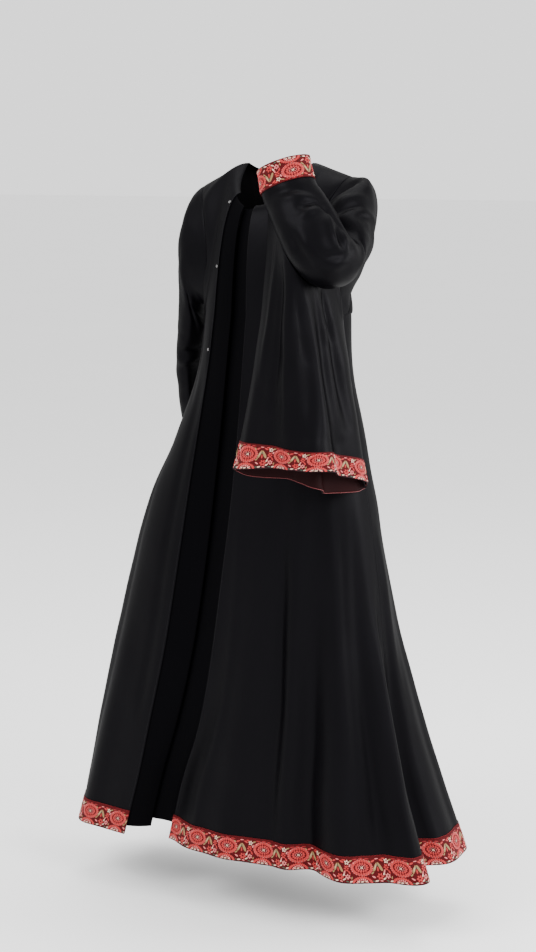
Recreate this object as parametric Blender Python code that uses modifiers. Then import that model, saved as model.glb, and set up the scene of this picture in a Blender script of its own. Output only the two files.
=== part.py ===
"""A black front-opening abaya with woven rosette tape, as it hangs on a standing wearer.

Metres, +Z up. The wearer faces -Y and their left is +X. The origin lies between the shoulders,
where the garment is held. The left arm is raised to the face and the right arm hangs down.

Every cloth piece is a thin wall on a grid of points. The body's grid is worked out from level
sections: a station runs round each section, 0 to 1 across the right front, 1 to 2 across the
underlap, 2 to 3 across the left front and 3 to 4 across the back.
"""

import math

import bpy
import numpy as np

COLLECTION = "abaya"

# Cloth and seams
WALL = 0.0016
TAPE_WALL = 0.0010
SEAM_GAP = 0.0004
LAY_GAP = 0.0003
HEM_TAPE_WIDTH = 0.052
SLEEVE_TAPE_WIDTH = 0.043

# Heights of the body
HEM_HEIGHT = -1.320
CHEST_HEIGHT = -0.240

# Neck and shoulders
NECK_HALF_WIDTH = 0.072
NECK_POINT = (0.010, 0.048)
NECK_FRONT = (0.094, 0.080)
NECK_BACK = (0.062, 0.026)
LEFT_SHOULDER = (0.160, 0.000, 0.022)
RIGHT_SHOULDER = (-0.160, 0.000, 0.006)

# Where stations end at the top: turns round the neck from the front, and shares of the
# shoulder seam, and where the cloth beside the neck is spread to each side
NECK_STATIONS = (0.0, 0.50, 1.0, 2.0, 2.42, 3.0, 3.30, 3.70, 4.0)
NECK_TURNS = (-90.0, -90.0, -44.0, 0.0, 90.0, 90.0, 90.0, -90.0, -90.0)
SHOULDER_SHARES = (1.0, 0.0, 0.0, 0.0, 0.0, 1.0, 0.0, 0.0, 1.0)
NECK_FANS = ((0.50, -1), (2.42, 1), (3.30, 1), (3.70, -1))
NECK_FAN = 0.020
NECK_FAN_REACH = 0.16

# The armholes
ARMHOLE_RIGHT_FRONT = 0.52
ARMHOLE_LEFT_FRONT = 0.40
ARMHOLE_BACK = 0.17
ARMHOLE_FRONT_HALF = 0.070
ARMHOLE_REAR_HALF = 0.060
ARMHOLE_INSET = 0.030
ARMHOLE_CUT_LOW = 0.7
ARMHOLE_CUT_ROUND = 1.5
YOKE_FULLNESS = 1.35
YOKE_LEAD_BACK = 0.20
YOKE_LEAD_RIGHT_FRONT = 0.55
YOKE_LEAD_LEFT_FRONT = 0.35

# Level sections of the body: how far it reaches to each side of the origin
SECTION_COLUMNS = ("height", "right", "left", "front", "back", "squareness")
SECTIONS = (
    (-0.240, 0.146, 0.148, 0.118, 0.098, 2.3),
    (-0.340, 0.158, 0.151, 0.122, 0.102, 2.3),
    (-0.450, 0.198, 0.172, 0.125, 0.110, 2.4),
    (-0.610, 0.274, 0.202, 0.130, 0.126, 2.5),
    (-0.880, 0.352, 0.243, 0.135, 0.156, 2.8),
    (-1.190, 0.430, 0.322, 0.137, 0.196, 3.1),
    (-1.320, 0.462, 0.368, 0.138, 0.212, 3.2),
)

# The two front edges, as distances along X
OPENING_COLUMNS = ("height", "right_edge", "left_edge")
OPENING = (
    (-0.240, -0.083, -0.004),
    (-0.450, -0.113, -0.018),
    (-0.610, -0.137, -0.033),
    (-0.800, -0.168, -0.060),
    (-0.900, -0.186, -0.078),
    (-1.070, -0.226, -0.117),
    (-1.200, -0.258, -0.162),
    (-1.320, -0.293, -0.190),
)

# Folds of the skirt: stations at their top and at the hem, depth outwards at the hem,
# half width at the hem, and the heights where they begin and are fullest
FOLD_COLUMNS = ("name", "top_station", "hem_station", "depth", "half_width", "begins", "fullest")
FOLDS = (
    ("right seam tuck", 0.00, 0.00, -0.034, 0.050, -0.80, -1.32),
    ("right front ridge", 0.55, 0.50, 0.010, 0.035, -0.70, -1.32),
    ("left edge turned back", 2.00, 2.00, -0.034, 0.048, -0.70, -1.32),
    ("left front first ridge", 2.18, 2.25, 0.010, 0.040, -0.50, -1.32),
    ("left front first valley", 2.36, 2.41, -0.013, 0.024, -0.42, -0.90),
    ("left front middle ridge", 2.48, 2.46, 0.010, 0.024, -0.45, -1.10),
    ("left front second valley", 2.61, 2.53, -0.024, 0.032, -0.42, -1.32),
    ("left front third ridge", 2.70, 2.66, 0.016, 0.036, -0.45, -1.32),
    ("left front third valley", 2.82, 2.79, -0.020, 0.026, -0.48, -1.20),
    ("near corner ridge", 2.90, 2.89, 0.016, 0.034, -0.70, -1.32),
    ("left seam tuck", 3.00, 3.00, -0.058, 0.040, -0.78, -1.32),
    ("back first ridge", 3.12, 3.15, 0.024, 0.045, -0.55, -1.32),
    ("back first valley", 3.22, 3.22, -0.028, 0.040, -0.45, -1.32),
    ("back second ridge", 3.35, 3.34, 0.022, 0.046, -0.40, -1.32),
    ("back middle valley", 3.48, 3.47, -0.030, 0.042, -0.35, -1.32),
    ("back third ridge", 3.61, 3.60, 0.024, 0.044, -0.42, -1.32),
    ("back third valley", 3.74, 3.75, -0.026, 0.040, -0.45, -1.32),
    ("back fourth ridge", 3.87, 3.88, 0.022, 0.045, -0.55, -1.32),
)

FOLD_FADES = 0.6
FOLD_TOP_WIDTH = 0.45

# The underlap strips of the front opening
STRIP_END = 1.55
STRIP_TUCK = 0.020
STRIP_HEM_RISE = 0.026
STRIP_FIRST_DEPTH = 0.016
STRIP_SECOND_EXTRA = 0.009
STRIP_OVERLAP = 0.07
STRIP_NECK_DEPTH = 0.002
STRIP_OPENS = 1.25

# Sleeve sections: the top and the bottom of each oval, half its width, which way its width
# lies (degrees from -Y towards the body, and its rise), and the angle of the seam under it
SLEEVE_COLUMNS = ("name", "top", "bottom", "wide", "swing", "rise", "seam")
LEFT_SLEEVE = (
    ("shoulder", (0.193, -0.012, 0.020), (0.146, -0.024, -0.207), 0.046, 26, 0.00, 0),
    ("upper arm", (0.214, -0.050, 0.010), (0.164, -0.064, -0.168), 0.040, 55, 0.00, 4),
    ("lower upper arm", (0.203, -0.106, -0.013), (0.193, -0.096, -0.158), 0.053, 76, 0.00, 10),
    ("above elbow", (0.211, -0.138, -0.044), (0.205, -0.150, -0.164), 0.056, 80, -0.05, 18),
    ("elbow one", (0.218, -0.152, -0.073), (0.216, -0.204, -0.175), 0.057, 80, -0.12, 28),
    ("elbow two", (0.2205, -0.160, -0.083), (0.2235, -0.244, -0.163), 0.058, 80, -0.18, 41),
    ("elbow three", (0.216, -0.1665, -0.088), (0.224, -0.271, -0.136), 0.059, 80, -0.24, 56),
    ("elbow four", (0.205, -0.171, -0.088), (0.217, -0.283, -0.104), 0.059, 80, -0.29, 72),
    ("below elbow", (0.191, -0.1726, -0.081), (0.205, -0.281, -0.071), 0.058, 80, -0.33, 88),
    ("forearm", (0.170, -0.169, -0.055), (0.184, -0.271, -0.039), 0.056, 80, -0.35, 102),
    ("lower forearm", (0.151, -0.1685, -0.0265), (0.163, -0.2605, -0.0115), 0.053, 80, -0.35, 109),
    ("above the tape", (0.1375, -0.1693, -0.005), (0.149, -0.2530, 0.0085), 0.0505, 80, -0.35, 112),
    ("tape edge", (0.135, -0.1695, -0.0005), (0.146, -0.2515, 0.0125), 0.050, 80, -0.35, 112),
    ("tape middle", (0.130, -0.1705, 0.020), (0.140, -0.2485, 0.033), 0.049, 80, -0.35, 112),
    ("cuff", (0.1245, -0.1705, 0.041), (0.1345, -0.2465, 0.053), 0.049, 80, -0.35, 112),
)
RIGHT_SLEEVE = (
    ("shoulder", (-0.184, 0.002, -0.014), (-0.1650, 0.002, -0.2300), 0.066, 0, 0.00, 0),
    ("upper arm", (-0.203, 0.006, -0.068), (-0.1740, 0.008, -0.2480), 0.063, 0, 0.00, -6),
    ("lower upper arm", (-0.212, 0.013, -0.135), (-0.1720, 0.016, -0.2650), 0.059, 0, 0.00, -16),
    ("under the arm", (-0.221, 0.021, -0.200), (-0.1720, 0.026, -0.2820), 0.056, 0, 0.00, -28),
    ("above elbow", (-0.236, 0.032, -0.261), (-0.1850, 0.038, -0.3060), 0.054, 0, 0.00, -42),
    ("elbow one", (-0.253, 0.046, -0.313), (-0.1990, 0.051, -0.3380), 0.052, 0, 0.00, -54),
    ("elbow two", (-0.264, 0.063, -0.364), (-0.2065, 0.065, -0.3740), 0.050, 0, 0.00, -62),
    ("below elbow", (-0.269, 0.077, -0.411), (-0.2110, 0.079, -0.4140), 0.049, 0, 0.00, -66),
    ("forearm", (-0.272, 0.089, -0.452), (-0.2140, 0.091, -0.4530), 0.048, 0, 0.00, -68),
    ("above the tape", (-0.274, 0.099, -0.4875), (-0.2160, 0.101, -0.4875), 0.047, 0, 0.00, -70),
    ("tape edge", (-0.2743, 0.1005, -0.4935), (-0.2163, 0.1025, -0.4935), 0.047, 0, 0.00, -70),
    ("tape middle", (-0.2752, 0.1055, -0.515), (-0.2172, 0.1075, -0.5150), 0.046, 0, 0.00, -70),
    ("cuff", (-0.276, 0.1105, -0.5365), (-0.2180, 0.1125, -0.5365), 0.046, 0, 0.00, -70),
)

# Where the hems of the two hanging sleeve drops run, from the cuff's end to the underarm's
HEM_COLUMNS = ("share", "x", "y", "z")
LEFT_DROP_HEM = (
    (0.00, 0.030, -0.216, -0.511),
    (0.25, 0.100, -0.224, -0.511),
    (0.50, 0.170, -0.228, -0.514),
    (0.68, 0.216, -0.200, -0.521),
    (0.84, 0.222, -0.112, -0.538),
    (1.00, 0.204, -0.022, -0.560),
)
RIGHT_DROP_HEM = (
    (0.00, -0.262, 0.236, -0.790),
    (0.30, -0.240, 0.244, -0.746),
    (0.60, -0.208, 0.228, -0.686),
    (1.00, -0.156, 0.190, -0.600),
)

# Folds of the drops: share across at the top and at the hem, depth at the hem, half width
DROP_FOLD_COLUMNS = ("name", "top_share", "hem_share", "depth", "half_share")
LEFT_DROP_FOLDS = (
    ("cuff end roll", 0.08, 0.10, 0.010, 0.08),
    ("soft valley", 0.30, 0.36, -0.012, 0.09),
    ("elbow ridge", 0.52, 0.62, 0.016, 0.08),
    ("side valley", 0.62, 0.76, -0.018, 0.06),
    ("side ridge", 0.80, 0.90, 0.010, 0.06),
)
RIGHT_DROP_FOLDS = (
    ("outer ridge", 0.20, 0.18, 0.014, 0.10),
    ("middle valley", 0.45, 0.45, -0.018, 0.10),
    ("inner ridge", 0.75, 0.72, 0.014, 0.10),
)
DROP_SPREAD = 0.017
LEFT_DROP_HANG = 0.9
RIGHT_DROP_HANG = -0.4
DROP_END_ROUND = 0.7
DROP_BACK_LONGER = 0.028

# Press studs down the right front's edge
STUD_RADIUS = 0.0031
STUD_THICKNESS = 0.0018
STUD_FROM_EDGE = 0.40
STUD_ROWS = (("press_stud_top", 23.0), ("press_stud_middle", 19.5), ("press_stud_low", 15.05))

# Grid lines
BODY_LEVELS = 17
YOKE_SHARES = (0.03, 0.10, 0.20, 0.32, 0.45, 0.59, 0.73, 0.87, 1.0)
RIGHT_FRONT_COLUMNS = 9
LEFT_FRONT_COLUMNS = 22
BACK_COLUMNS = 30
SEAM_COLUMN = 0.006
SEAM_SPREAD = {0.0: 0.35, 2.0: 0.65, 3.0: 1.20}
SEAM_COLUMN_OPENS = -0.80
RING_SAMPLES = 721
RING_CROWDING = 1.7
SLOPE_STEP = 0.004
SLEEVE_SIDES = 2 * len(YOKE_SHARES)
LEFT_DROP_FIRST_RING = 2
RIGHT_DROP_FIRST_RING = 4
DROP_ROWS = 9


def column(table, names, name, positions, key="height"):
    """One column of a table as a smooth curve over its key, read at the positions."""
    keys = np.array([row[names.index(key)] for row in table], float)
    values = np.array([row[names.index(name)] for row in table], float)
    order = np.argsort(keys)
    keys = keys[order]
    values = values[order]
    slopes = np.gradient(values, keys)
    positions = np.clip(positions, keys[0], keys[-1])
    left = np.clip(np.searchsorted(keys, positions) - 1, 0, len(keys) - 2)
    width = keys[left + 1] - keys[left]
    t = (positions - keys[left]) / width
    start = (2 * t**3 - 3 * t**2 + 1) * values[left] + (t**3 - 2 * t**2 + t) * width * slopes[left]
    end = (3 * t**2 - 2 * t**3) * values[left + 1] + (t**3 - t**2) * width * slopes[left + 1]
    return start + end


def ease(value):
    """A step from 0 to 1 that starts and ends level."""
    value = np.clip(value, 0.0, 1.0)
    return value * value * (3.0 - 2.0 * value)


def unit(vector):
    vector = np.asarray(vector, float)
    return vector / np.linalg.norm(vector)


def base_ring(height):
    """The smooth section at a height, from the right side seam round the front and back again."""
    read = {name: float(column(SECTIONS, SECTION_COLUMNS, name, height)) for name in SECTION_COLUMNS[1:]}
    quarters = np.linspace(-1.0, 3.0, RING_SAMPLES)
    share = quarters - np.floor(quarters)
    crowded = share**RING_CROWDING / (share**RING_CROWDING + (1.0 - share) ** RING_CROWDING)
    angle = (np.floor(quarters) + crowded) * math.pi / 2
    power = 2.0 / read["squareness"]
    across = np.sign(np.sin(angle)) * np.abs(np.sin(angle)) ** power
    along = np.sign(np.cos(angle)) * np.abs(np.cos(angle)) ** power
    x = across * np.where(across > 0, read["left"], read["right"])
    y = -along * np.where(along > 0, read["front"], read["back"])
    points = np.column_stack([x, y])
    lengths = np.linalg.norm(np.diff(points, axis=0), axis=1)
    return points, np.concatenate([[0.0], np.cumsum(lengths)])


def stations(height, points, arc):
    """The arc length at each whole station."""
    half = (RING_SAMPLES - 1) // 2
    front = slice(0, half + 1)
    right_edge = float(column(OPENING, OPENING_COLUMNS, "right_edge", height))
    left_edge = float(column(OPENING, OPENING_COLUMNS, "left_edge", height))
    at_right = np.interp(right_edge, points[front, 0], arc[front])
    at_left = np.interp(left_edge, points[front, 0], arc[front])
    return np.array([0.0, at_right, at_left, arc[half], arc[-1]])


def fold_swell(height, arc, marks):
    """How far the folds push the section outwards at each arc length."""
    total = arc[-1]
    swell = np.zeros_like(arc)
    down = (CHEST_HEIGHT - height) / (CHEST_HEIGHT - HEM_HEIGHT)
    for row in FOLDS:
        fold = dict(zip(FOLD_COLUMNS, row))
        begins = fold["begins"]
        fullest = fold["fullest"]
        grown = float(ease((begins - height) / (begins - fullest)))
        if height < fullest:
            grown *= 1.0 - FOLD_FADES * (fullest - height) / (fullest - HEM_HEIGHT)
        station = fold["top_station"] + (fold["hem_station"] - fold["top_station"]) * down
        centre = np.interp(station, range(5), marks)
        distance = (arc - centre + total / 2) % total - total / 2
        reach = fold["half_width"] * (FOLD_TOP_WIDTH + (1.0 - FOLD_TOP_WIDTH) * down)
        swell += fold["depth"] * grown * np.exp(-((distance / reach) ** 2))
    return swell


def outward(points):
    """Outward unit normals of a closed level section whose last point repeats its first."""
    ahead = np.roll(points[:-1], -1, axis=0)
    behind = np.roll(points[:-1], 1, axis=0)
    run = ahead - behind
    normal = np.column_stack([run[:, 1], -run[:, 0]])
    normal /= np.linalg.norm(normal, axis=1)[:, None]
    return np.vstack([normal, normal[:1]])


def level_points(height, places, shifts):
    """Points and normals at one height. A place is a station, and its shift is in metres of arc."""
    points, arc = base_ring(height)
    marks = stations(height, points, arc)
    points = points + outward(points) * fold_swell(height, arc, marks)[:, None]
    normals = outward(points)
    total = arc[-1]
    at = (np.interp(places, range(5), marks) + shifts) % total
    at = np.where((np.asarray(places) >= 4) & (at < total / 2), total + shifts, at)
    spot = np.column_stack([np.interp(at, arc, points[:, i]) for i in range(2)])
    normal = np.column_stack([np.interp(at, arc, normals[:, i]) for i in range(2)])
    flat = np.full((len(spot), 1), height)
    return np.hstack([spot, flat]), np.hstack([normal, np.zeros_like(flat)])


def top_point(place, behind):
    """Where a station's column ends: on the neckline or on the shoulder seam."""
    turn = math.radians(np.interp(place, NECK_STATIONS, NECK_TURNS))
    share = float(np.interp(place, NECK_STATIONS, SHOULDER_SHARES))
    reach, rise = NECK_BACK if behind else NECK_FRONT
    side = -1.0 if behind else 1.0
    x = NECK_HALF_WIDTH * math.sin(turn)
    y = NECK_POINT[0] - side * reach * math.cos(turn)
    z = NECK_POINT[1] - rise * math.cos(turn)
    tip = LEFT_SHOULDER if turn > 0 else RIGHT_SHOULDER
    neck = np.array([x, y, z])
    seam = np.array([0.0, -side * SEAM_GAP / 2, 0.0])
    return neck + (np.array(tip) - neck) * share + seam


def cut_to_armhole(places, share, behind):
    """The stations of a row above the chest, drawn in from each side by the armhole's curve."""
    places = np.asarray(places, float)
    cut = 0.0
    if 0.0 < share < 1.0:
        cut = math.sin(math.pi * share**ARMHOLE_CUT_LOW) ** ARMHOLE_CUT_ROUND
    if behind:
        return 3.5 + (places - 3.5) * (1.0 - 2.0 * ARMHOLE_BACK * cut)
    right = 1.0 - (1.0 - places) * (1.0 - ARMHOLE_RIGHT_FRONT * cut)
    left = 2.0 + (places - 2.0) * (1.0 - ARMHOLE_LEFT_FRONT * cut)
    return np.where(places < 1.0, right, np.where(places > 2.0, left, places))


def armhole_point(side, share, behind):
    """The armhole as an oval seen from the side, set in from the chest's and shoulder's sides."""
    up = math.sin(share * math.pi / 2)
    tip = LEFT_SHOULDER if side > 0 else RIGHT_SHOULDER
    chest = SECTIONS[0][2] if side > 0 else SECTIONS[0][1]
    x = chest + (abs(tip[0]) - chest) * share - ARMHOLE_INSET * math.sin(math.pi * up)
    half = ARMHOLE_REAR_HALF if behind else -ARMHOLE_FRONT_HALF
    y = math.sqrt(max(0.0, 1.0 - (2.0 * up - 1.0) ** 2)) * half
    return np.array([side * x, y, CHEST_HEIGHT + (tip[2] - CHEST_HEIGHT) * up])


def yoke_row(places, share, behind):
    """Points of a row above the chest, led to the armholes at its ends."""
    points = yoke_form(places, share, behind)
    if not 0.0 < share < 1.0:
        return points
    sides = ((-1, 0.0, YOKE_LEAD_RIGHT_FRONT), (1, 3.0, YOKE_LEAD_LEFT_FRONT))
    if behind:
        sides = ((1, 3.0, YOKE_LEAD_BACK), (-1, 4.0, YOKE_LEAD_BACK))
    for side, edge, reach in sides:
        moved = armhole_point(side, share, behind) - yoke_form([edge], share, behind)[0]
        near = ease(1.0 - np.abs(np.asarray(places) - edge) / reach)
        points = points + near[:, None] * moved
    return points


def yoke_form(places, share, behind):
    """Points at one share of the way from the chest section to the neck and shoulders."""
    drawn = cut_to_armhole(places, share, behind)
    chest, _ = level_points(CHEST_HEIGHT, drawn, 0.0)
    top = np.array([top_point(place, behind) for place in drawn])
    up = math.sin(share * math.pi / 2)
    over = (1.0 - math.cos(share * math.pi / 2)) ** YOKE_FULLNESS
    points = chest + (top - chest) * np.array([share, over, up])
    for neck_point, side in NECK_FANS:
        near = np.exp(-(((drawn - neck_point) / NECK_FAN_REACH) ** 2))
        points[:, 0] += side * NECK_FAN * near * math.sin(math.pi * share)
    return points


def shoulder_normal(side):
    """Straight up from a shoulder seam, for both panels that meet there."""
    tip = np.array(LEFT_SHOULDER if side > 0 else RIGHT_SHOULDER)
    neck = np.array([side * NECK_HALF_WIDTH, *NECK_POINT])
    return side * unit(np.cross(tip - neck, (0.0, 1.0, 0.0)))


def yoke_points(places, share, behind):
    """The same points with their outward normals."""
    places = np.asarray(places, float)
    ends = (3.0, 4.0) if behind else (0.0, 3.0)
    spots = yoke_row(places, share, behind)
    ahead = yoke_row(np.minimum(places + SLOPE_STEP, ends[1]), share, behind)
    along = ahead - yoke_row(np.maximum(places - SLOPE_STEP, ends[0]), share, behind)
    above = yoke_row(places, min(1.0, share + SLOPE_STEP), behind)
    rise = above - yoke_row(places, share - SLOPE_STEP, behind)
    normals = np.cross(along, rise)
    normals /= np.linalg.norm(normals, axis=1)[:, None]
    if share == 1.0:
        on_seam = np.interp(places, NECK_STATIONS, SHOULDER_SHARES) > 0
        left = (places > 2.0) & (places < 3.5)
        common = np.where(left[:, None], shoulder_normal(1), shoulder_normal(-1))
        normals = np.where(on_seam[:, None], common, normals)
    return spots, normals


def body_levels(lowest):
    """Heights of the grid's level rows, with two of them on the hem tape's lines."""
    tape_top = HEM_HEIGHT + HEM_TAPE_WIDTH
    rest = np.linspace(tape_top, CHEST_HEIGHT, BODY_LEVELS - 2)
    levels = np.concatenate([[HEM_HEIGHT, HEM_HEIGHT + HEM_TAPE_WIDTH / 2], rest])
    return np.concatenate([[lowest], levels[levels > lowest + HEM_TAPE_WIDTH / 4]])


def body_grid(columns, behind, lowest=HEM_HEIGHT, yoke=YOKE_SHARES):
    """A body panel's points and normals, row by row from the hem to the neck and shoulders."""
    low, high, shifts = columns
    rows = []
    for height in body_levels(lowest):
        opened = ease((height - SEAM_COLUMN_OPENS) / (CHEST_HEIGHT - SEAM_COLUMN_OPENS))
        rows.append(level_points(height, low + (high - low) * opened, shifts))
    rows += [yoke_points(high, share, behind) for share in yoke]
    return np.array([row[0] for row in rows]), np.array([row[1] for row in rows])


def panel_columns(first, last, count, sewn_start, sewn_end):
    """Stations of a panel's columns at the hem and at the chest, and their shifts along the arc.

    A sewn end keeps half the seam's gap. A column beside it lies close to it at the hem.
    """
    close = SEAM_COLUMN / SEAM_SPREAD[first]
    half = 0.5 * (last - first) / (count - 1)
    low = list(np.linspace(first, last, count))
    high = list(low)
    shifts = [0.0] * count
    if sewn_start:
        shifts[0] = SEAM_GAP / 2
        low.insert(1, first + close)
        high.insert(1, first + half)
        shifts.insert(1, 0.0)
    if sewn_end:
        shifts[-1] = -SEAM_GAP / 2
        low.insert(-1, last - close)
        high.insert(-1, last - half)
        shifts.insert(-1, 0.0)
    return np.array(low), np.array(high), np.array(shifts)


def armhole_ring(side):
    """The armhole's points and normals, from the underarm over the front to the shoulder and back."""
    points = []
    normals = []
    for step in range(SLEEVE_SIDES):
        behind = step > len(YOKE_SHARES)
        share = ((0.0,) + YOKE_SHARES)[SLEEVE_SIDES - step if behind else step]
        place = 3.0 if side > 0 else (4.0 if behind else 0.0)
        if share == 0.0:
            spot, normal = level_points(CHEST_HEIGHT, [place], 0.0)
        else:
            spot, normal = yoke_points([place], share, behind)
        points.append(spot[0] * np.array([1.0, 0.0, 1.0]) if share == 1.0 else spot[0])
        normals.append(normal[0])
    return np.array(points), np.array(normals)


def armhole_mitre(side):
    """How the walls lean where a sleeve meets the panels, halfway between the two."""
    _, panel = armhole_ring(side)
    sleeve = -side * grid_normals(sleeve_points(side), closed=True)[0]
    return (panel + sleeve) / (1.0 + (panel * sleeve).sum(axis=1))[:, None]


def lean_to_sleeves(name, normals):
    """Turns a panel's edge along each armhole to the angle it shares with the sleeve."""
    rows = len(YOKE_SHARES) + 1
    front = list(range(rows))
    rear = [-row % SLEEVE_SIDES for row in front]
    if name == "front_right":
        normals[-rows:, 0] = armhole_mitre(-1)[front]
    if name == "front_left":
        normals[-rows:, -1] = armhole_mitre(1)[front]
    if name == "back":
        normals[-rows:, 0] = armhole_mitre(1)[rear]
        normals[-rows:, -1] = armhole_mitre(-1)[rear]


def grid_normals(grid, closed=False):
    """Unit normals of a grid of points, facing away from its rows' inner side."""
    if closed:
        along = np.roll(grid, -1, axis=1) - np.roll(grid, 1, axis=1)
    else:
        along = np.gradient(grid, axis=1)
    up = np.gradient(grid, axis=0)
    normal = np.cross(along, up)
    return normal / np.linalg.norm(normal, axis=2)[:, :, None]


def make_material(name, colour, roughness, metallic):
    """A plain Principled material."""
    material = bpy.data.materials.new(name)
    material.use_nodes = True
    shader = material.node_tree.nodes["Principled BSDF"]
    shader.inputs["Base Color"].default_value = (*colour, 1.0)
    shader.inputs["Roughness"].default_value = roughness
    shader.inputs["Metallic"].default_value = metallic
    material.diffuse_color = (*colour, 1.0)
    return material


def cloth_material(name):
    return make_material(f"{name} black crepe satin", (0.012, 0.011, 0.014), 0.48, 0.0)


def strip_material(name):
    return make_material(f"{name} black crepe", (0.009, 0.008, 0.010), 0.62, 0.0)


def tape_material(name):
    return make_material(f"{name} red woven tape", (0.46, 0.050, 0.045), 0.66, 0.0)


def stud_material(name):
    return make_material(f"{name} nickel", (0.62, 0.61, 0.60), 0.30, 1.0)


def place_in_collection(piece, material):
    piece.data.materials.append(material)
    bpy.data.collections[COLLECTION].objects.link(piece)
    return piece


def cloth_wall(name, grid, normals, wall, material, closed=False):
    """A cloth wall between two copies of a grid, half its thickness out and half in."""
    rows, columns = grid.shape[:2]
    count = rows * columns
    index = np.arange(count).reshape(rows, columns)
    points = np.concatenate([grid + normals * wall / 2, grid - normals * wall / 2]).reshape(-1, 3)
    faces = []
    spans = [(start, (start + 1) % columns) for start in range(columns if closed else columns - 1)]
    for row in range(rows - 1):
        for start, end in spans:
            low, low_next = index[row, start], index[row, end]
            high, high_next = index[row + 1, start], index[row + 1, end]
            for a, b, c in ((low, low_next, high_next), (low, high_next, high)):
                faces.append((a, b, c))
                faces.append((c + count, b + count, a + count))
    edges = [(index[0, end], index[0, start]) for start, end in spans]
    edges += [(index[-1, start], index[-1, end]) for start, end in spans]
    if not closed:
        edges += [(index[row, 0], index[row + 1, 0]) for row in range(rows - 1)]
        edges += [(index[row + 1, -1], index[row, -1]) for row in range(rows - 1)]
    faces += [(a, b, b + count, a + count) for a, b in edges]
    mesh = bpy.data.meshes.new(name)
    mesh.from_pydata(points.tolist(), [], [[int(corner) for corner in face] for face in faces])
    mesh.shade_smooth()
    mesh.set_sharp_from_angle(angle=math.radians(60))
    piece = bpy.data.objects.new(name, mesh)
    return place_in_collection(piece, material)


def tape_lift():
    """From the middle of a panel's wall to the middle of the tape that lies on it."""
    return WALL / 2 + LAY_GAP + TAPE_WALL / 2


def make_body():
    """The two fronts and the back, each with its hem tape on the lowest three rows."""
    panels = (
        ("front_right", 0.0, 1.0, RIGHT_FRONT_COLUMNS, True, False),
        ("front_left", 2.0, 3.0, LEFT_FRONT_COLUMNS, False, True),
        ("back", 3.0, 4.0, BACK_COLUMNS, True, True),
    )
    for name, first, last, count, sewn_start, sewn_end in panels:
        columns = panel_columns(first, last, count, sewn_start, sewn_end)
        grid, normals = body_grid(columns, name == "back")
        lean_to_sleeves(name, normals)
        cloth_wall(name, grid, normals, WALL, cloth_material(name))
        tape = grid[:3] + normals[:3] * tape_lift()
        name = f"hem_tape_{name}"
        cloth_wall(name, tape, normals[:3], TAPE_WALL, tape_material(name))


def make_strip(name, places, depths):
    """A strip behind the front edges. Its depths are given per column at the neck and at the hem."""
    columns = (places, places, 0.0)
    grid, normals = body_grid(columns, False, HEM_HEIGHT + STRIP_HEM_RISE, YOKE_SHARES[:-1])
    down = ease((CHEST_HEIGHT - grid[:, :, 2]) / (CHEST_HEIGHT - HEM_HEIGHT) * STRIP_OPENS)
    inward = depths[0][None, :] + (depths[1] - depths[0])[None, :] * down
    grid = grid - normals * inward[:, :, None]
    cloth_wall(name, grid, normals, WALL, strip_material(name))


def make_underlap():
    """The strip sewn behind each front edge. The right front's lies over the left front's."""
    lay = WALL + SEAM_GAP
    places = np.array([1.0 - STRIP_TUCK, 1.0, (1.0 + STRIP_END) / 2, STRIP_END])
    share = np.clip((places - 1.0) / (STRIP_END - 1.0), 0.0, 1.0)
    make_strip("right_underlap", places, (lay + STRIP_NECK_DEPTH * share, lay + STRIP_FIRST_DEPTH * share))

    first = STRIP_END - STRIP_OVERLAP
    places = np.array([first, (first + 2.0) / 2, 2.0, 2.0 + STRIP_TUCK])
    share = np.clip((2.0 - places) / (2.0 - first), 0.0, 1.0)
    near = STRIP_NECK_DEPTH + STRIP_SECOND_EXTRA
    far = STRIP_FIRST_DEPTH + STRIP_SECOND_EXTRA
    make_strip("left_underlap", places, (lay + near * share, lay + far * share))


def sleeve_ring(row):
    """One oval section of a sleeve, its first point on the seam that carries the drop."""
    read = dict(zip(SLEEVE_COLUMNS, row))
    top = np.array(read["top"])
    bottom = np.array(read["bottom"])
    half = (bottom - top) / 2
    side = math.copysign(1.0, top[0])
    turn = math.radians(read["swing"])
    across = np.array([-side * math.sin(turn), -math.cos(turn), read["rise"]])
    across = unit(across - unit(half) * (across @ unit(half))) * read["wide"]
    turns = math.radians(read["seam"]) + 2 * math.pi * np.arange(SLEEVE_SIDES) / SLEEVE_SIDES
    return (top + bottom) / 2 + np.outer(np.cos(turns), half) + np.outer(np.sin(turns), across)


def sleeve_points(side):
    """All rings of a sleeve. The first keeps the seam's gap from the panels' edges."""
    table = LEFT_SLEEVE if side > 0 else RIGHT_SLEEVE
    ring, normals = armhole_ring(side)
    tangent = np.roll(ring, -1, axis=0) - np.roll(ring, 1, axis=0)
    away = side * np.cross(tangent, normals)
    away /= np.linalg.norm(away, axis=1)[:, None]
    return np.array([ring + away * SEAM_GAP] + [sleeve_ring(row) for row in table])


def sleeve_grid(side):
    """A sleeve's rings, turned so that its grid faces outwards, and their normals."""
    grid = sleeve_points(side)
    lean = armhole_mitre(side)
    if side > 0:
        grid = np.roll(grid[:, ::-1], 1, axis=1)
        lean = np.roll(lean[::-1], 1, axis=0)
    normals = grid_normals(grid, closed=True)
    normals[0] = lean
    return grid, normals


def make_sleeves():
    """Both sleeves and the tapes round their cuffs."""
    for side, word in ((1, "left"), (-1, "right")):
        grid, normals = sleeve_grid(side)
        name = f"sleeve_{word}"
        cloth_wall(name, grid, normals, WALL, cloth_material(name), closed=True)
        tape = grid[-3:] + normals[-3:] * tape_lift()
        name = f"cuff_tape_{word}"
        cloth_wall(name, tape, normals[-3:], TAPE_WALL, tape_material(name), closed=True)


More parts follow.
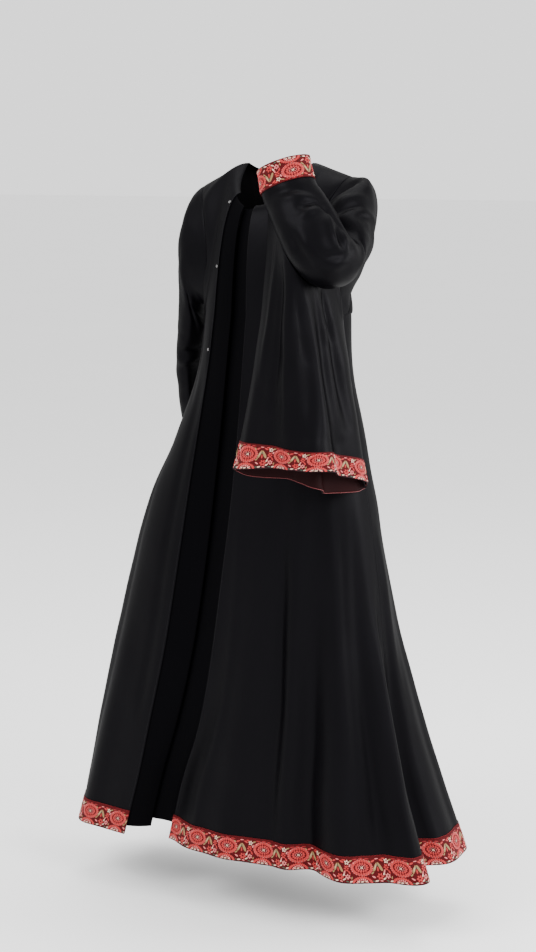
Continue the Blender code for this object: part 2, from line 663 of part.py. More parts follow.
def drop_top(side):
    """The line under a sleeve's seam, from the cuff's end to the underarm, and the way across it."""
    grid, normals = sleeve_grid(side)
    first = LEFT_DROP_FIRST_RING if side > 0 else RIGHT_DROP_FIRST_RING
    line = (grid[:, 0] + normals[:, 0] * (WALL / 2 + 2 * LAY_GAP))[first:-3][::-1]
    facing = normals[first:-3, 0][::-1]
    across = side * np.cross(facing, np.gradient(line, axis=0))
    across /= np.linalg.norm(across, axis=1)[:, None]
    steps = np.arange(2 * len(line) - 1) / 2
    both = np.hstack([line, across])
    both = np.column_stack([np.interp(steps, range(len(line)), both[:, i]) for i in range(6)])
    return both[:, :3], both[:, 3:]


def drop_grid(side, layer):
    """One layer of a drop: it hangs from the sleeve's seam and ends at its own hem."""
    hem_table = LEFT_DROP_HEM if side > 0 else RIGHT_DROP_HEM
    folds = LEFT_DROP_FOLDS if side > 0 else RIGHT_DROP_FOLDS
    hang = LEFT_DROP_HANG if side > 0 else RIGHT_DROP_HANG
    top, across = drop_top(side)
    run = np.concatenate([[0.0], np.cumsum(np.linalg.norm(np.diff(top, axis=0), axis=1))])
    shares = run / run[-1]
    hem = np.column_stack([column(hem_table, HEM_COLUMNS, axis, shares, "share") for axis in "xyz"])
    full = hem[:, 2] - top[:, 2]
    tape_start = 1.0 + SLEEVE_TAPE_WIDTH / full.mean()
    falls = np.concatenate([np.linspace(0.0, tape_start, DROP_ROWS - 2), [(tape_start + 1.0) / 2, 1.0]])
    sweep = falls[:, None] ** (1.0 + hang * (1.0 - shares))[None]
    middle = top[None] + (hem - top)[None] * sweep[:, :, None]
    middle[:, :, 2] = top[:, 2] + full * falls[:, None]
    outside = -side * grid_normals(middle)
    swell = np.zeros((len(falls), len(shares)))
    for row in folds:
        fold = dict(zip(DROP_FOLD_COLUMNS, row))
        centre = fold["top_share"] + (fold["hem_share"] - fold["top_share"]) * falls[:, None]
        near = np.exp(-(((shares[None] - centre) / fold["half_share"]) ** 2))
        swell += fold["depth"] * falls[:, None] * near
    ends = np.sin(np.pi * shares)[None] ** DROP_END_ROUND
    apart = WALL / 2 + SEAM_GAP + DROP_SPREAD * ends * ease(falls)[:, None]
    grid = middle + outside * (swell + layer * apart)[:, :, None]
    if layer < 0:
        grid[:, :, 2] -= DROP_BACK_LONGER * falls[:, None] * ends
    grid[0] = top + across * layer * (WALL / 2 + SEAM_GAP)
    normals = grid_normals(grid)
    normals[0] = -side * across
    return grid, normals


def make_drops():
    """The two layers of cloth that hang from each sleeve, and the tape on each."""
    for side, word in ((1, "left"), (-1, "right")):
        for layer, face in ((1, "front"), (-1, "back")):
            grid, normals = drop_grid(side, layer)
            name = f"drop_{word}_{face}"
            cloth_wall(name, grid, normals, WALL, cloth_material(name))
            tape = grid[-3:] - side * layer * normals[-3:] * tape_lift()
            name = f"drop_tape_{word}_{face}"
            cloth_wall(name, tape, normals[-3:], TAPE_WALL, tape_material(name))


def make_studs():
    """Press studs on the right front, within its last column."""
    grid, _ = body_grid(panel_columns(0.0, 1.0, RIGHT_FRONT_COLUMNS, True, False), False)
    for name, row in STUD_ROWS:
        low = grid[int(row), -2:]
        high = grid[int(row) + 1, -2:]
        sides = low + (high - low) * (row % 1.0)
        spot = sides[1] + (sides[0] - sides[1]) * STUD_FROM_EDGE
        across = unit(sides[1] - sides[0])
        facing = unit(np.cross(across, high.mean(axis=0) - low.mean(axis=0)))
        bpy.ops.mesh.primitive_cylinder_add(vertices=16, radius=STUD_RADIUS, depth=STUD_THICKNESS)
        stud = bpy.context.active_object
        stud.name = name
        stud.data.name = name
        turn = np.array([across, np.cross(facing, across), facing]).T
        lift = WALL / 2 + 2 * LAY_GAP + STUD_THICKNESS / 2
        for vertex in stud.data.vertices:
            vertex.co = turn @ np.array(vertex.co) + spot + facing * lift
        for holder in list(stud.users_collection):
            holder.objects.unlink(stud)
        bevel = stud.modifiers.new("Rounded rim", "BEVEL")
        bevel.width = STUD_THICKNESS * 0.3
        bevel.segments = 2
        place_in_collection(stud, stud_material(name))


def main():
    for old in list(bpy.data.objects):
        bpy.data.objects.remove(old)
    collection = bpy.data.collections.new(COLLECTION)
    bpy.context.scene.collection.children.link(collection)
    make_body()
    make_underlap()
    make_sleeves()
    make_drops()
    make_studs()


main()
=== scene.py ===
"""Looks of a black front-opening abaya with woven rosette tape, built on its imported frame.

The forms repeat the part's sections and tables at finer steps, so each sheet lies on its solid.
"""

import math
from functools import lru_cache

import bpy
import numpy as np
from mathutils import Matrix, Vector, noise


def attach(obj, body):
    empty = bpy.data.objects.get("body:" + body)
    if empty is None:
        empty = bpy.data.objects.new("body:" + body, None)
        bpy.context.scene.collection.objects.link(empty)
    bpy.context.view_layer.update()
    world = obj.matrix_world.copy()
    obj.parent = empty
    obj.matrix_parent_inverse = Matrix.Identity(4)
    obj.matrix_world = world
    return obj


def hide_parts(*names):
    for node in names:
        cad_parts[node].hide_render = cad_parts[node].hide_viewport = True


# Cloth and seams
WALL = 0.0016
TAPE_WALL = 0.0010
SEAM_GAP = 0.0004
LAY_GAP = 0.0003
TAPE_LIFT = WALL / 2 + LAY_GAP + TAPE_WALL / 2
HEM_TAPE_WIDTH = 0.052
SLEEVE_TAPE_WIDTH = 0.043

# Heights of the body
HEM_HEIGHT = -1.320
CHEST_HEIGHT = -0.240

# Neck and shoulders
NECK_HALF_WIDTH = 0.072
NECK_POINT = (0.010, 0.048)
NECK_FRONT = (0.094, 0.080)
NECK_BACK = (0.062, 0.026)
SHOULDERS = {1: (0.160, 0.000, 0.022), -1: (-0.160, 0.000, 0.006)}

# Where stations end at the top: turns round the neck from the front, and shares of the
# shoulder seam, and where the cloth beside the neck is spread to each side
NECK_STATIONS = (0.0, 0.50, 1.0, 2.0, 2.42, 3.0, 3.30, 3.70, 4.0)
NECK_TURNS = (-90.0, -90.0, -44.0, 0.0, 90.0, 90.0, 90.0, -90.0, -90.0)
SHOULDER_SHARES = (1.0, 0.0, 0.0, 0.0, 0.0, 1.0, 0.0, 0.0, 1.0)
NECK_FANS = ((0.50, -1), (2.42, 1), (3.30, 1), (3.70, -1))
NECK_FAN = 0.020
NECK_FAN_REACH = 0.16

# The armholes
ARMHOLE_RIGHT_FRONT = 0.52
ARMHOLE_LEFT_FRONT = 0.40
ARMHOLE_BACK = 0.17
ARMHOLE_FRONT_HALF = 0.070
ARMHOLE_REAR_HALF = 0.060
ARMHOLE_INSET = 0.030
ARMHOLE_CUT_LOW = 0.7
ARMHOLE_CUT_ROUND = 1.5
YOKE_FULLNESS = 1.35

# How far from each armhole a row is led to it: side, station and reach, in front and behind
YOKE_LEADS = {False: ((-1, 0.0, 0.55), (1, 3.0, 0.35)), True: ((1, 3.0, 0.20), (-1, 4.0, 0.20))}

# Level sections of the body: how far it reaches to each side of the origin
SECTION_COLUMNS = ("height", "right", "left", "front", "back", "squareness")
SECTIONS = (
    (-0.240, 0.146, 0.148, 0.118, 0.098, 2.3),
    (-0.340, 0.158, 0.151, 0.122, 0.102, 2.3),
    (-0.450, 0.198, 0.172, 0.125, 0.110, 2.4),
    (-0.610, 0.274, 0.202, 0.130, 0.126, 2.5),
    (-0.880, 0.352, 0.243, 0.135, 0.156, 2.8),
    (-1.190, 0.430, 0.322, 0.137, 0.196, 3.1),
    (-1.320, 0.462, 0.368, 0.138, 0.212, 3.2),
)

# The two front edges, as distances along X
OPENING_COLUMNS = ("height", "right_edge", "left_edge")
OPENING = (
    (-0.240, -0.083, -0.004),
    (-0.450, -0.113, -0.018),
    (-0.610, -0.137, -0.033),
    (-0.800, -0.168, -0.060),
    (-0.900, -0.186, -0.078),
    (-1.070, -0.226, -0.121),
    (-1.200, -0.258, -0.170),
    (-1.320, -0.293, -0.201),
)

# Folds of the skirt: stations at their top and at the hem, depth outwards at the hem,
# half width at the hem, and the heights where they begin and are fullest
FOLD_COLUMNS = ("top_station", "hem_station", "depth", "half_width", "begins", "fullest")
FOLDS = (
    (0.00, 0.00, -0.034, 0.050, -0.80, -1.32),
    (0.55, 0.50, 0.010, 0.035, -0.70, -1.32),
    (2.00, 2.00, -0.034, 0.048, -0.70, -1.32),
    (2.18, 2.25, 0.010, 0.040, -0.50, -1.32),
    (2.36, 2.41, -0.013, 0.024, -0.42, -0.90),
    (2.48, 2.46, 0.010, 0.024, -0.45, -1.10),
    (2.61, 2.53, -0.024, 0.032, -0.42, -1.32),
    (2.70, 2.66, 0.016, 0.036, -0.45, -1.32),
    (2.82, 2.79, -0.020, 0.026, -0.48, -1.20),
    (2.94, 2.90, 0.016, 0.034, -0.66, -1.32),
    (3.03, 3.00, -0.058, 0.040, -0.74, -1.32),
    (3.12, 3.15, 0.024, 0.045, -0.55, -1.32),
    (3.22, 3.22, -0.028, 0.040, -0.45, -1.32),
    (3.35, 3.34, 0.022, 0.046, -0.40, -1.32),
    (3.48, 3.47, -0.030, 0.042, -0.35, -1.32),
    (3.61, 3.60, 0.024, 0.044, -0.42, -1.32),
    (3.74, 3.75, -0.026, 0.040, -0.45, -1.32),
    (3.87, 3.88, 0.022, 0.045, -0.55, -1.32),
)

FOLD_FADES = 0.6
FOLD_TOP_WIDTH = 0.45

# The underlap strips of the front opening
STRIP_END = 1.55
STRIP_TUCK = 0.020
STRIP_HEM_RISE = 0.026
STRIP_FIRST_DEPTH = 0.016
STRIP_SECOND_EXTRA = 0.009
STRIP_OVERLAP = 0.07
STRIP_NECK_DEPTH = 0.002
STRIP_OPENS = 1.25

# Sleeve sections: the top and the bottom of each oval, half its width, which way its width
# lies (degrees from -Y towards the body, and its rise), and the angle of the seam under it
SLEEVE_COLUMNS = ("top", "bottom", "wide", "swing", "rise", "seam")
LEFT_SLEEVE = (
    ((0.193, -0.012, 0.020), (0.146, -0.024, -0.207), 0.046, 26, 0.00, 0),
    ((0.214, -0.050, 0.010), (0.164, -0.064, -0.168), 0.040, 55, 0.00, 4),
    ((0.203, -0.106, -0.013), (0.193, -0.096, -0.158), 0.053, 76, 0.00, 10),
    ((0.211, -0.138, -0.044), (0.205, -0.150, -0.164), 0.056, 80, -0.05, 18),
    ((0.218, -0.152, -0.073), (0.216, -0.204, -0.175), 0.057, 80, -0.12, 28),
    ((0.2205, -0.160, -0.083), (0.2235, -0.244, -0.163), 0.058, 80, -0.18, 41),
    ((0.216, -0.1665, -0.088), (0.224, -0.271, -0.136), 0.059, 80, -0.24, 56),
    ((0.205, -0.171, -0.088), (0.217, -0.283, -0.104), 0.059, 80, -0.29, 72),
    ((0.191, -0.1726, -0.081), (0.205, -0.281, -0.071), 0.058, 80, -0.33, 88),
    ((0.170, -0.169, -0.055), (0.184, -0.271, -0.039), 0.056, 80, -0.35, 102),
    ((0.151, -0.1685, -0.0265), (0.163, -0.2605, -0.0115), 0.053, 80, -0.35, 109),
    ((0.1375, -0.1693, -0.005), (0.149, -0.2530, 0.0085), 0.0505, 80, -0.35, 112),
    ((0.135, -0.1695, -0.0005), (0.146, -0.2515, 0.0125), 0.050, 80, -0.35, 112),
    ((0.130, -0.1705, 0.020), (0.140, -0.2485, 0.033), 0.049, 80, -0.35, 112),
    ((0.1245, -0.1705, 0.041), (0.1345, -0.2465, 0.053), 0.049, 80, -0.35, 112),
)
RIGHT_SLEEVE = (
    ((-0.184, 0.002, -0.014), (-0.1650, 0.002, -0.2300), 0.066, 0, 0.00, 0),
    ((-0.203, 0.006, -0.068), (-0.1740, 0.008, -0.2480), 0.063, 0, 0.00, -6),
    ((-0.212, 0.013, -0.135), (-0.1720, 0.016, -0.2650), 0.059, 0, 0.00, -16),
    ((-0.221, 0.021, -0.200), (-0.1720, 0.026, -0.2820), 0.056, 0, 0.00, -28),
    ((-0.236, 0.032, -0.261), (-0.1850, 0.038, -0.3060), 0.054, 0, 0.00, -42),
    ((-0.253, 0.046, -0.313), (-0.1990, 0.051, -0.3380), 0.052, 0, 0.00, -54),
    ((-0.264, 0.063, -0.364), (-0.2065, 0.065, -0.3740), 0.050, 0, 0.00, -62),
    ((-0.269, 0.077, -0.411), (-0.2110, 0.079, -0.4140), 0.049, 0, 0.00, -66),
    ((-0.272, 0.089, -0.452), (-0.2140, 0.091, -0.4530), 0.048, 0, 0.00, -68),
    ((-0.274, 0.099, -0.4875), (-0.2160, 0.101, -0.4875), 0.047, 0, 0.00, -70),
    ((-0.2743, 0.1005, -0.4935), (-0.2163, 0.1025, -0.4935), 0.047, 0, 0.00, -70),
    ((-0.2752, 0.1055, -0.515), (-0.2172, 0.1075, -0.5150), 0.046, 0, 0.00, -70),
    ((-0.276, 0.1105, -0.5365), (-0.2180, 0.1125, -0.5365), 0.046, 0, 0.00, -70),
)
SLEEVES = {1: LEFT_SLEEVE, -1: RIGHT_SLEEVE}

# Where the hems of the two hanging sleeve drops run, from the cuff's end to the underarm's
HEM_COLUMNS = ("share", "x", "y", "z")
LEFT_DROP_HEM = (
    (0.00, 0.030, -0.216, -0.511),
    (0.25, 0.100, -0.224, -0.511),
    (0.50, 0.170, -0.228, -0.514),
    (0.68, 0.216, -0.200, -0.521),
    (0.84, 0.222, -0.112, -0.538),
    (1.00, 0.204, -0.022, -0.560),
)
RIGHT_DROP_HEM = (
    (0.00, -0.262, 0.236, -0.790),
    (0.30, -0.240, 0.244, -0.746),
    (0.60, -0.208, 0.228, -0.686),
    (1.00, -0.156, 0.190, -0.600),
)

# Folds of the drops: share across at the top and at the hem, depth at the hem, half width
DROP_FOLD_COLUMNS = ("top_share", "hem_share", "depth", "half_share")
LEFT_DROP_FOLDS = (
    (0.08, 0.10, 0.010, 0.08),
    (0.30, 0.36, -0.012, 0.09),
    (0.52, 0.62, 0.016, 0.08),
    (0.62, 0.76, -0.018, 0.06),
    (0.80, 0.90, 0.010, 0.06),
)
RIGHT_DROP_FOLDS = (
    (0.20, 0.18, 0.014, 0.10),
    (0.45, 0.45, -0.018, 0.10),
    (0.75, 0.72, 0.014, 0.10),
)

# Each drop's hem, its folds and how late it sweeps out on its way down
DROPS = {1: (LEFT_DROP_HEM, LEFT_DROP_FOLDS, 0.9), -1: (RIGHT_DROP_HEM, RIGHT_DROP_FOLDS, -0.4)}
DROP_SPREAD = 0.017
DROP_END_ROUND = 0.7
DROP_BACK_LONGER = 0.028

# Press studs down the right front's edge
STUD_RADIUS = 0.0031
STUD_THICKNESS = 0.0018
STUD_SIDES = 40
STUDS = ("press_stud_top", "press_stud_middle", "press_stud_low")

# A cap's profile from its middle over the rim to its foot, as shares of radius and thickness
STUD_PROFILE = (
    (0.0, 0.55), (0.22, 0.50), (0.30, 0.72), (0.42, 0.86), (0.62, 0.84), (0.80, 0.66),
    (0.90, 0.78), (1.0, 0.52), (0.98, 0.16), (0.90, 0.0), (0.0, 0.0),
)

# Sides of the garment
SIDES = ((1, "left"), (-1, "right"))

# Grid lines of the sheets
YOKE_STEPS = (0.03, 0.10, 0.20, 0.32, 0.45, 0.59, 0.73, 0.87, 1.0)
YOKE_SHARES = tuple(np.interp(np.linspace(0, 9, 46), range(10), (0.0,) + YOKE_STEPS)[1:])
SLEEVE_SIDES = 2 * len(YOKE_SHARES)
RING_SAMPLES = 1441
RING_CROWDING = 1.7
SLOPE_STEP = 0.004
LEAST_STEP = 0.001
LEVELS = 122
TAPE_ROWS = 8
STRIP_COLUMNS = 14
SLEEVE_ROWS = 130
SLEEVE_TAPE_ROWS = 9
DROP_COLUMNS = 96
DROP_FALLS = 66
FIRST_DROP_RING = {1: 2, -1: 4}

# Panels: stations at both ends, columns, stations that a seam keeps level, where the flowers
# start, and the column that carries a front edge's stitching
PANELS = (
    ("front_right", 0.0, 1.0, 62, 0.08, 0.030, -2),
    ("front_left", 2.0, 3.0, 160, 0.03, -0.020, 1),
    ("back", 3.0, 4.0, 200, 0.03, 0.012, None),
)

# Smaller folds of the panels: stations at their two heights, depth, half width in metres
FINE_COLUMNS = ("top_station", "low_station", "depth", "half_width", "top", "low")
FINE_FOLDS = {
    "front_right": (
        (0.22, 0.24, 0.0030, 0.014, -0.50, -1.34),
        (0.36, 0.35, -0.0026, 0.012, -0.42, -1.34),
        (0.86, 0.84, -0.0022, 0.012, -0.30, -1.10),
        (0.50, 0.72, -0.0020, 0.010, -0.12, -0.46),
    ),
    "front_left": (
        (2.10, 2.12, 0.0024, 0.012, -0.55, -1.34),
        (2.31, 2.33, -0.0018, 0.018, -0.50, -1.20),
        (2.43, 2.42, 0.0016, 0.018, -0.55, -1.34),
        (2.57, 2.56, 0.0014, 0.018, -0.62, -1.34),
        (2.75, 2.72, -0.0036, 0.013, -0.55, -1.34),
        (2.93, 2.86, 0.0040, 0.010, -0.80, -1.34),
        (2.97, 2.95, -0.0040, 0.010, -0.72, -1.34),
        (2.60, 2.66, -0.0030, 0.014, -0.16, -0.62),
        (2.30, 2.50, -0.0022, 0.012, -0.10, -0.42),
    ),
    "back": (
        (3.035, 3.045, 0.0050, 0.013, -0.62, -1.36),
        (3.10, 3.11, -0.0034, 0.016, -0.60, -1.34),
        (3.17, 3.18, 0.0030, 0.011, -0.55, -1.30),
        (3.27, 3.26, 0.0034, 0.012, -0.50, -1.34),
        (3.39, 3.38, -0.0030, 0.011, -0.46, -1.34),
        (3.45, 3.46, 0.0024, 0.010, -0.50, -1.25),
        (3.53, 3.52, 0.0032, 0.012, -0.44, -1.34),
        (3.65, 3.67, -0.0030, 0.011, -0.50, -1.34),
        (3.79, 3.80, 0.0030, 0.012, -0.52, -1.30),
        (3.93, 3.93, -0.0036, 0.012, -0.62, -1.34),
        (3.20, 3.34, -0.0024, 0.014, -0.12, -0.50),
        (3.82, 3.66, -0.0024, 0.014, -0.12, -0.50),
    ),
}

# Where the two strips end, beside their solids
RIGHT_STRIP_RISE = -0.008
LEFT_STRIP_RISE = 0.008

# The back layer of each drop sags at a share across
DROP_BACK_SAG = 0.011
DROP_SAG_SHARE = 0.74
DROP_SAG_HALF = 0.17

# How far a drop's hem lies above its solid's, at shares across
DROP_HEM_WAVE = {
    1: (
        (0.0, 0.12, 0.3, 0.5, 0.66, 0.8, 0.92, 1.0),
        (-0.008, -0.004, 0.004, 0.009, 0.009, 0.003, -0.005, -0.008),
    ),
    -1: ((0.0, 0.35, 0.7, 1.0), (0.0, 0.004, -0.004, 0.0)),
}

# Creases of the sleeves: share along and turn round at each end, depth and half width
CREASE_COLUMNS = ("share", "turn", "end_share", "end_turn", "depth", "half_width")
SLEEVE_CREASES = {
    1: (
        (0.885, 0.20, 0.872, 0.38, -0.0034, 0.009),
        (0.872, 0.38, 0.822, 0.48, -0.0030, 0.009),
        (0.850, 0.28, 0.835, 0.43, 0.0026, 0.008),
        (0.798, 0.34, 0.802, 0.44, -0.0060, 0.006),
        (0.802, 0.44, 0.745, 0.47, -0.0055, 0.006),
        (0.750, 0.31, 0.772, 0.40, 0.0042, 0.007),
        (0.730, 0.43, 0.630, 0.34, 0.0048, 0.006),
        (0.690, 0.44, 0.625, 0.36, -0.0052, 0.004),
        (0.671, 0.46, 0.612, 0.37, 0.0046, 0.005),
        (0.810, 0.48, 0.655, 0.46, -0.0050, 0.006),
        (0.590, 0.22, 0.585, 0.31, 0.0042, 0.006),
        (0.615, 0.25, 0.610, 0.33, -0.0040, 0.005),
        (0.720, 0.20, 0.590, 0.15, -0.0032, 0.010),
        (0.700, 0.26, 0.610, 0.20, 0.0030, 0.010),
        (0.050, 0.60, 0.160, 0.55, -0.0032, 0.007),
        (0.070, 0.54, 0.190, 0.48, 0.0030, 0.010),
        (0.395, 0.57, 0.300, 0.43, -0.0052, 0.006),
        (0.340, 0.58, 0.260, 0.45, 0.0042, 0.009),
        (0.375, 0.44, 0.280, 0.34, -0.0046, 0.006),
        (0.330, 0.40, 0.240, 0.31, 0.0036, 0.009),
        (0.520, 0.30, 0.500, 0.46, 0.0040, 0.011),
        (0.480, 0.28, 0.455, 0.44, -0.0042, 0.007),
        (0.600, 0.56, 0.505, 0.76, 0.0044, 0.011),
        (0.650, 0.58, 0.585, 0.80, -0.0046, 0.008),
        (0.450, 0.62, 0.420, 0.86, 0.0040, 0.012),
        (0.310, 0.60, 0.275, 0.86, -0.0040, 0.009),
        (0.885, 0.56, 0.850, 0.82, -0.0032, 0.009),
        (0.740, 0.58, 0.765, 0.80, 0.0036, 0.011),
        (0.300, 0.10, 0.365, 0.28, -0.0042, 0.009),
        (0.230, 0.12, 0.290, 0.30, 0.0036, 0.011),
    ),
    -1: (
        (0.500, 0.18, 0.560, 0.42, -0.0046, 0.009),
        (0.550, 0.20, 0.605, 0.45, 0.0042, 0.010),
        (0.440, 0.56, 0.520, 0.82, -0.0040, 0.010),
        (0.500, 0.58, 0.570, 0.84, 0.0036, 0.011),
        (0.100, 0.34, 0.460, 0.50, 0.0044, 0.015),
        (0.120, 0.62, 0.430, 0.70, -0.0042, 0.013),
        (0.140, 0.18, 0.440, 0.24, -0.0040, 0.012),
        (0.620, 0.34, 0.900, 0.42, 0.0036, 0.012),
        (0.660, 0.66, 0.930, 0.74, -0.0036, 0.012),
        (0.640, 0.16, 0.880, 0.22, -0.0034, 0.011),
        (0.900, 0.26, 0.885, 0.56, -0.0028, 0.008),
    ),
}
DROP_CREASES = {
    1: (
        (0.03, 0.620, 0.30, 0.690, 0.0060, 0.011),
        (0.25, 0.684, 0.78, 0.755, 0.0075, 0.014),
        (0.05, 0.690, 0.30, 0.755, -0.0070, 0.009),
        (0.25, 0.745, 0.74, 0.808, -0.0080, 0.012),
        (0.10, 0.450, 0.40, 0.512, -0.0050, 0.015),
        (0.34, 0.503, 0.80, 0.575, -0.0060, 0.018),
        (0.12, 0.545, 0.78, 0.655, 0.0042, 0.014),
        (0.02, 0.885, 0.16, 0.925, -0.0034, 0.006),
        (0.03, 0.850, 0.20, 0.880, 0.0034, 0.007),
        (0.06, 0.180, 0.60, 0.150, 0.0050, 0.016),
        (0.10, 0.280, 0.74, 0.290, -0.0048, 0.016),
        (0.14, 0.370, 0.80, 0.410, 0.0044, 0.015),
    ),
    -1: (
        (0.10, 0.360, 0.80, 0.300, 0.0060, 0.015),
        (0.12, 0.520, 0.84, 0.480, -0.0060, 0.016),
        (0.08, 0.680, 0.82, 0.660, 0.0054, 0.015),
        (0.14, 0.830, 0.76, 0.840, -0.0046, 0.013),
        (0.10, 0.180, 0.78, 0.150, -0.0046, 0.014),
    ),
}

# Unevenness of the cloth: height, size and seed, and where it fades
BODY_RIPPLE = (0.0016, 0.09, (3.1, 7.7, 1.9))
RIPPLE_TOP = -0.10
RIPPLE_FADES = 0.10
SLEEVE_RIPPLES = ((0.0016, 0.045, (1.3, 5.1, 2.2)), (0.0008, 0.02, (4.3, 0.1, 8.2)))
DROP_RIPPLE = (0.0020, 0.06, (2.0, 2.0, 2.0))
DROP_LEVEL = 0.15
SLEEVE_SEAM_LEVEL = 0.05
SLEEVE_ENDS_LEVEL = (0.05, 0.04)

# How far the creases' shares reach, in metres, and how their ends thin out
SLEEVE_ROUND = 0.34
DROP_SCALE = (0.45, 0.42)
CREASE_TIP = 0.07
CREASE_ROUND = 0.6

# How the panels' smaller folds wander down the cloth, and over what height they begin and end
FINE_WANDER = 0.004
WANDER_DOWN = 7.0
WANDER_ACROSS = 40.0
FINE_BEGINS = 0.16
FINE_ENDS = 0.10

# How far a sewn edge is rolled under, where the two columns beside it lie, as shares of a column,
# and how far they sink, as shares of the depth
ROLL_DEPTH = 0.0014
ROLL_PLACES = (0.10, 0.30)
ROLL_SINKS = (0.30, 0.04)
ROLL_RING = 0.25

# Stitches: the step that gives their direction, their rim and their shoulder's share of the
# height, their pitch, and the selvedge's pitch, length, width and height
STITCH_STEP = 0.0008
STITCH_RIM = -0.0001
STITCH_SHOULDER = 0.8
TAPE_STITCH = 0.0032
EDGE_STITCH = 0.0034
SELVEDGE_STITCH = (0.0040, 0.0046, 0.0011, 0.0004)
SELVEDGE_RISE = 0.1

# What the pose takes up of a flat size, and the shares of its rectangle that a sheet fills
CUT_EASE = 1.02
LEAST_FILL = 0.32
MOST_FILL = 0.999

# Camera and floor
CAMERA_RIGHT = -0.02
CAMERA_AWAY = 3.8
CAMERA_HEIGHT = 0.06
TARGET_HEIGHT = -0.565
CAMERA_SENSOR = 36.0
CAMERA_REACH = 1941 / 952
FLOOR_REACH = 60.0
FLOOR_HEIGHT = -1.445
SKY_STRENGTH = 1.6

# Lamps: spot, size and power, and where they all aim
LIGHT_TARGET = (0.0, 0.0, -0.6)
LIGHTS = (
    ("Key", (-1.6, -3.2, 2.2), 2.0, 150.0),
    ("Side", (3.2, -1.2, 1.2), 1.4, 110.0),
    ("Top", (0.0, 0.5, 3.0), 2.4, 90.0),
    ("Flank", (3.0, 1.5, 0.2), 1.6, 110.0),
)


# The tape's flowers, on one repeat of its length: rings of petals, then single petals with
# their place, length, width, turn and thread, in millimetres and degrees
REPEAT = 0.078
CHART_WIDTH = 0.052
RING_COLUMNS = ("x", "y", "reach_x", "reach_y", "petals", "length", "width", "start", "end", "thread")
PETAL_RINGS = (
    (36, 31, 18.8, 13.6, 22, 6.8, 4.9, 0, 360, "coral"),
    (36, 31, 21.0, 15.6, 22, 2.6, 1.5, 8, 368, "pink"),
    (36, 31, 11.2, 7.8, 14, 5.4, 4.0, 0, 360, "coral"),
    (36, 31, 6.6, 4.6, 10, 2.6, 1.5, 10, 370, "pink"),
    (34, 0, 18.0, 12.0, 13, 5.4, 4.2, 12, 168, "coral"),
    (34, 0, 10.5, 8.4, 8, 4.4, 3.0, 15, 165, "pink"),
    (70, 13, 4.6, 4.4, 6, 5.8, 3.8, 0, 360, "coral"),
    (7, 14, 3.6, 3.4, 6, 4.6, 3.0, 30, 390, "pink"),
    (8, 42, 3.2, 3.2, 5, 4.2, 3.0, 10, 370, "cream"),
    (84, 30, 3.0, 4.4, 6, 4.8, 3.2, 0, 360, "coral"),
)
PETALS = (
    (62.2, 31.5, 20.0, 5.4, 64, "olive"),
    (71.8, 31.5, 20.0, 5.4, 116, "olive"),
    (62.6, 32.0, 15.0, 1.4, 64, "cream"),
    (71.4, 32.0, 15.0, 1.4, 116, "cream"),
    (67.0, 27.0, 10.0, 3.2, 90, "coral"),
    (67.0, 34.5, 6.0, 2.0, 90, "green"),
    (59.0, 43.0, 9.0, 3.6, 24, "coral"),
    (75.5, 43.5, 9.0, 3.6, 156, "coral"),
    (67.0, 46.8, 9.0, 2.6, 2, "pink"),
    (1.5, 22.5, 8.0, 3.2, 70, "pink"),
    (11.0, 22.0, 8.0, 3.2, 115, "coral"),
    (13.0, 36.0, 7.0, 3.0, 60, "pink"),
    (2.0, 46.5, 8.0, 3.0, 175, "coral"),
    (15.5, 45.0, 9.0, 3.2, 24, "olive"),
    (56.0, 20.5, 8.0, 3.2, 40, "olive"),
    (57.0, 12.5, 8.5, 3.4, 150, "pink"),
    (78.0, 18.0, 7.0, 3.0, 60, "cream"),
    (62.5, 4.6, 7.5, 3.0, 10, "cream"),
    (56.0, 4.4, 5.5, 2.4, 160, "green"),
    (34.0, 3.6, 7.0, 3.0, 8, "cream"),
    (26.5, 4.2, 6.5, 2.6, 160, "cream"),
    (42.0, 4.4, 6.0, 2.6, 24, "cream"),
    (49.0, 5.2, 6.5, 2.8, 130, "coral"),
    (19.0, 5.2, 6.5, 2.8, 50, "coral"),
    (71.5, 4.4, 7.0, 2.8, 170, "pink"),
    (13.0, 4.4, 7.0, 3.0, 20, "cream"),
    (5.5, 4.4, 6.5, 2.6, 165, "green"),
    (0.0, 8.5, 7.0, 2.8, 30, "cream"),
    (14.5, 11.5, 7.0, 2.8, 75, "olive"),
    (36.0, 31.0, 7.6, 2.0, 42, "cream"),
    (36.0, 31.0, 7.6, 2.0, 138, "cream"),
    (36.0, 31.0, 3.2, 3.0, 0, "olive"),
    (24.0, 47.8, 10.0, 2.6, 6, "scarlet"),
    (36.0, 48.8, 10.0, 2.6, 0, "scarlet"),
    (48.0, 47.8, 10.0, 2.6, -6, "scarlet"),
    (52.0, 42.6, 6.0, 2.6, 140, "olive"),
    (21.0, 40.6, 6.0, 2.6, 45, "pink"),
)

# A petal: points round, its inner rim's share, heights, taper and step over the next, how close it
# comes to the tape's ends and edges, how its strands shift, and where the sleeves' flowers start
RIM = 10
INNER_RIM = 0.62
PETAL_HEIGHTS = (-0.00015, 0.00030, 0.00042)
PETAL_TAPER = 0.25
PETAL_STEP = 0.00004
TAPE_END = 0.0005
PETAL_END = 0.0002
PETAL_LOW = 0.0010
PETAL_OVER = 0.0004
PETAL_SHIFTS = (0.013, 0.0007, 0.0009)
CUFF_START = 0.004
DROP_START = 0.006

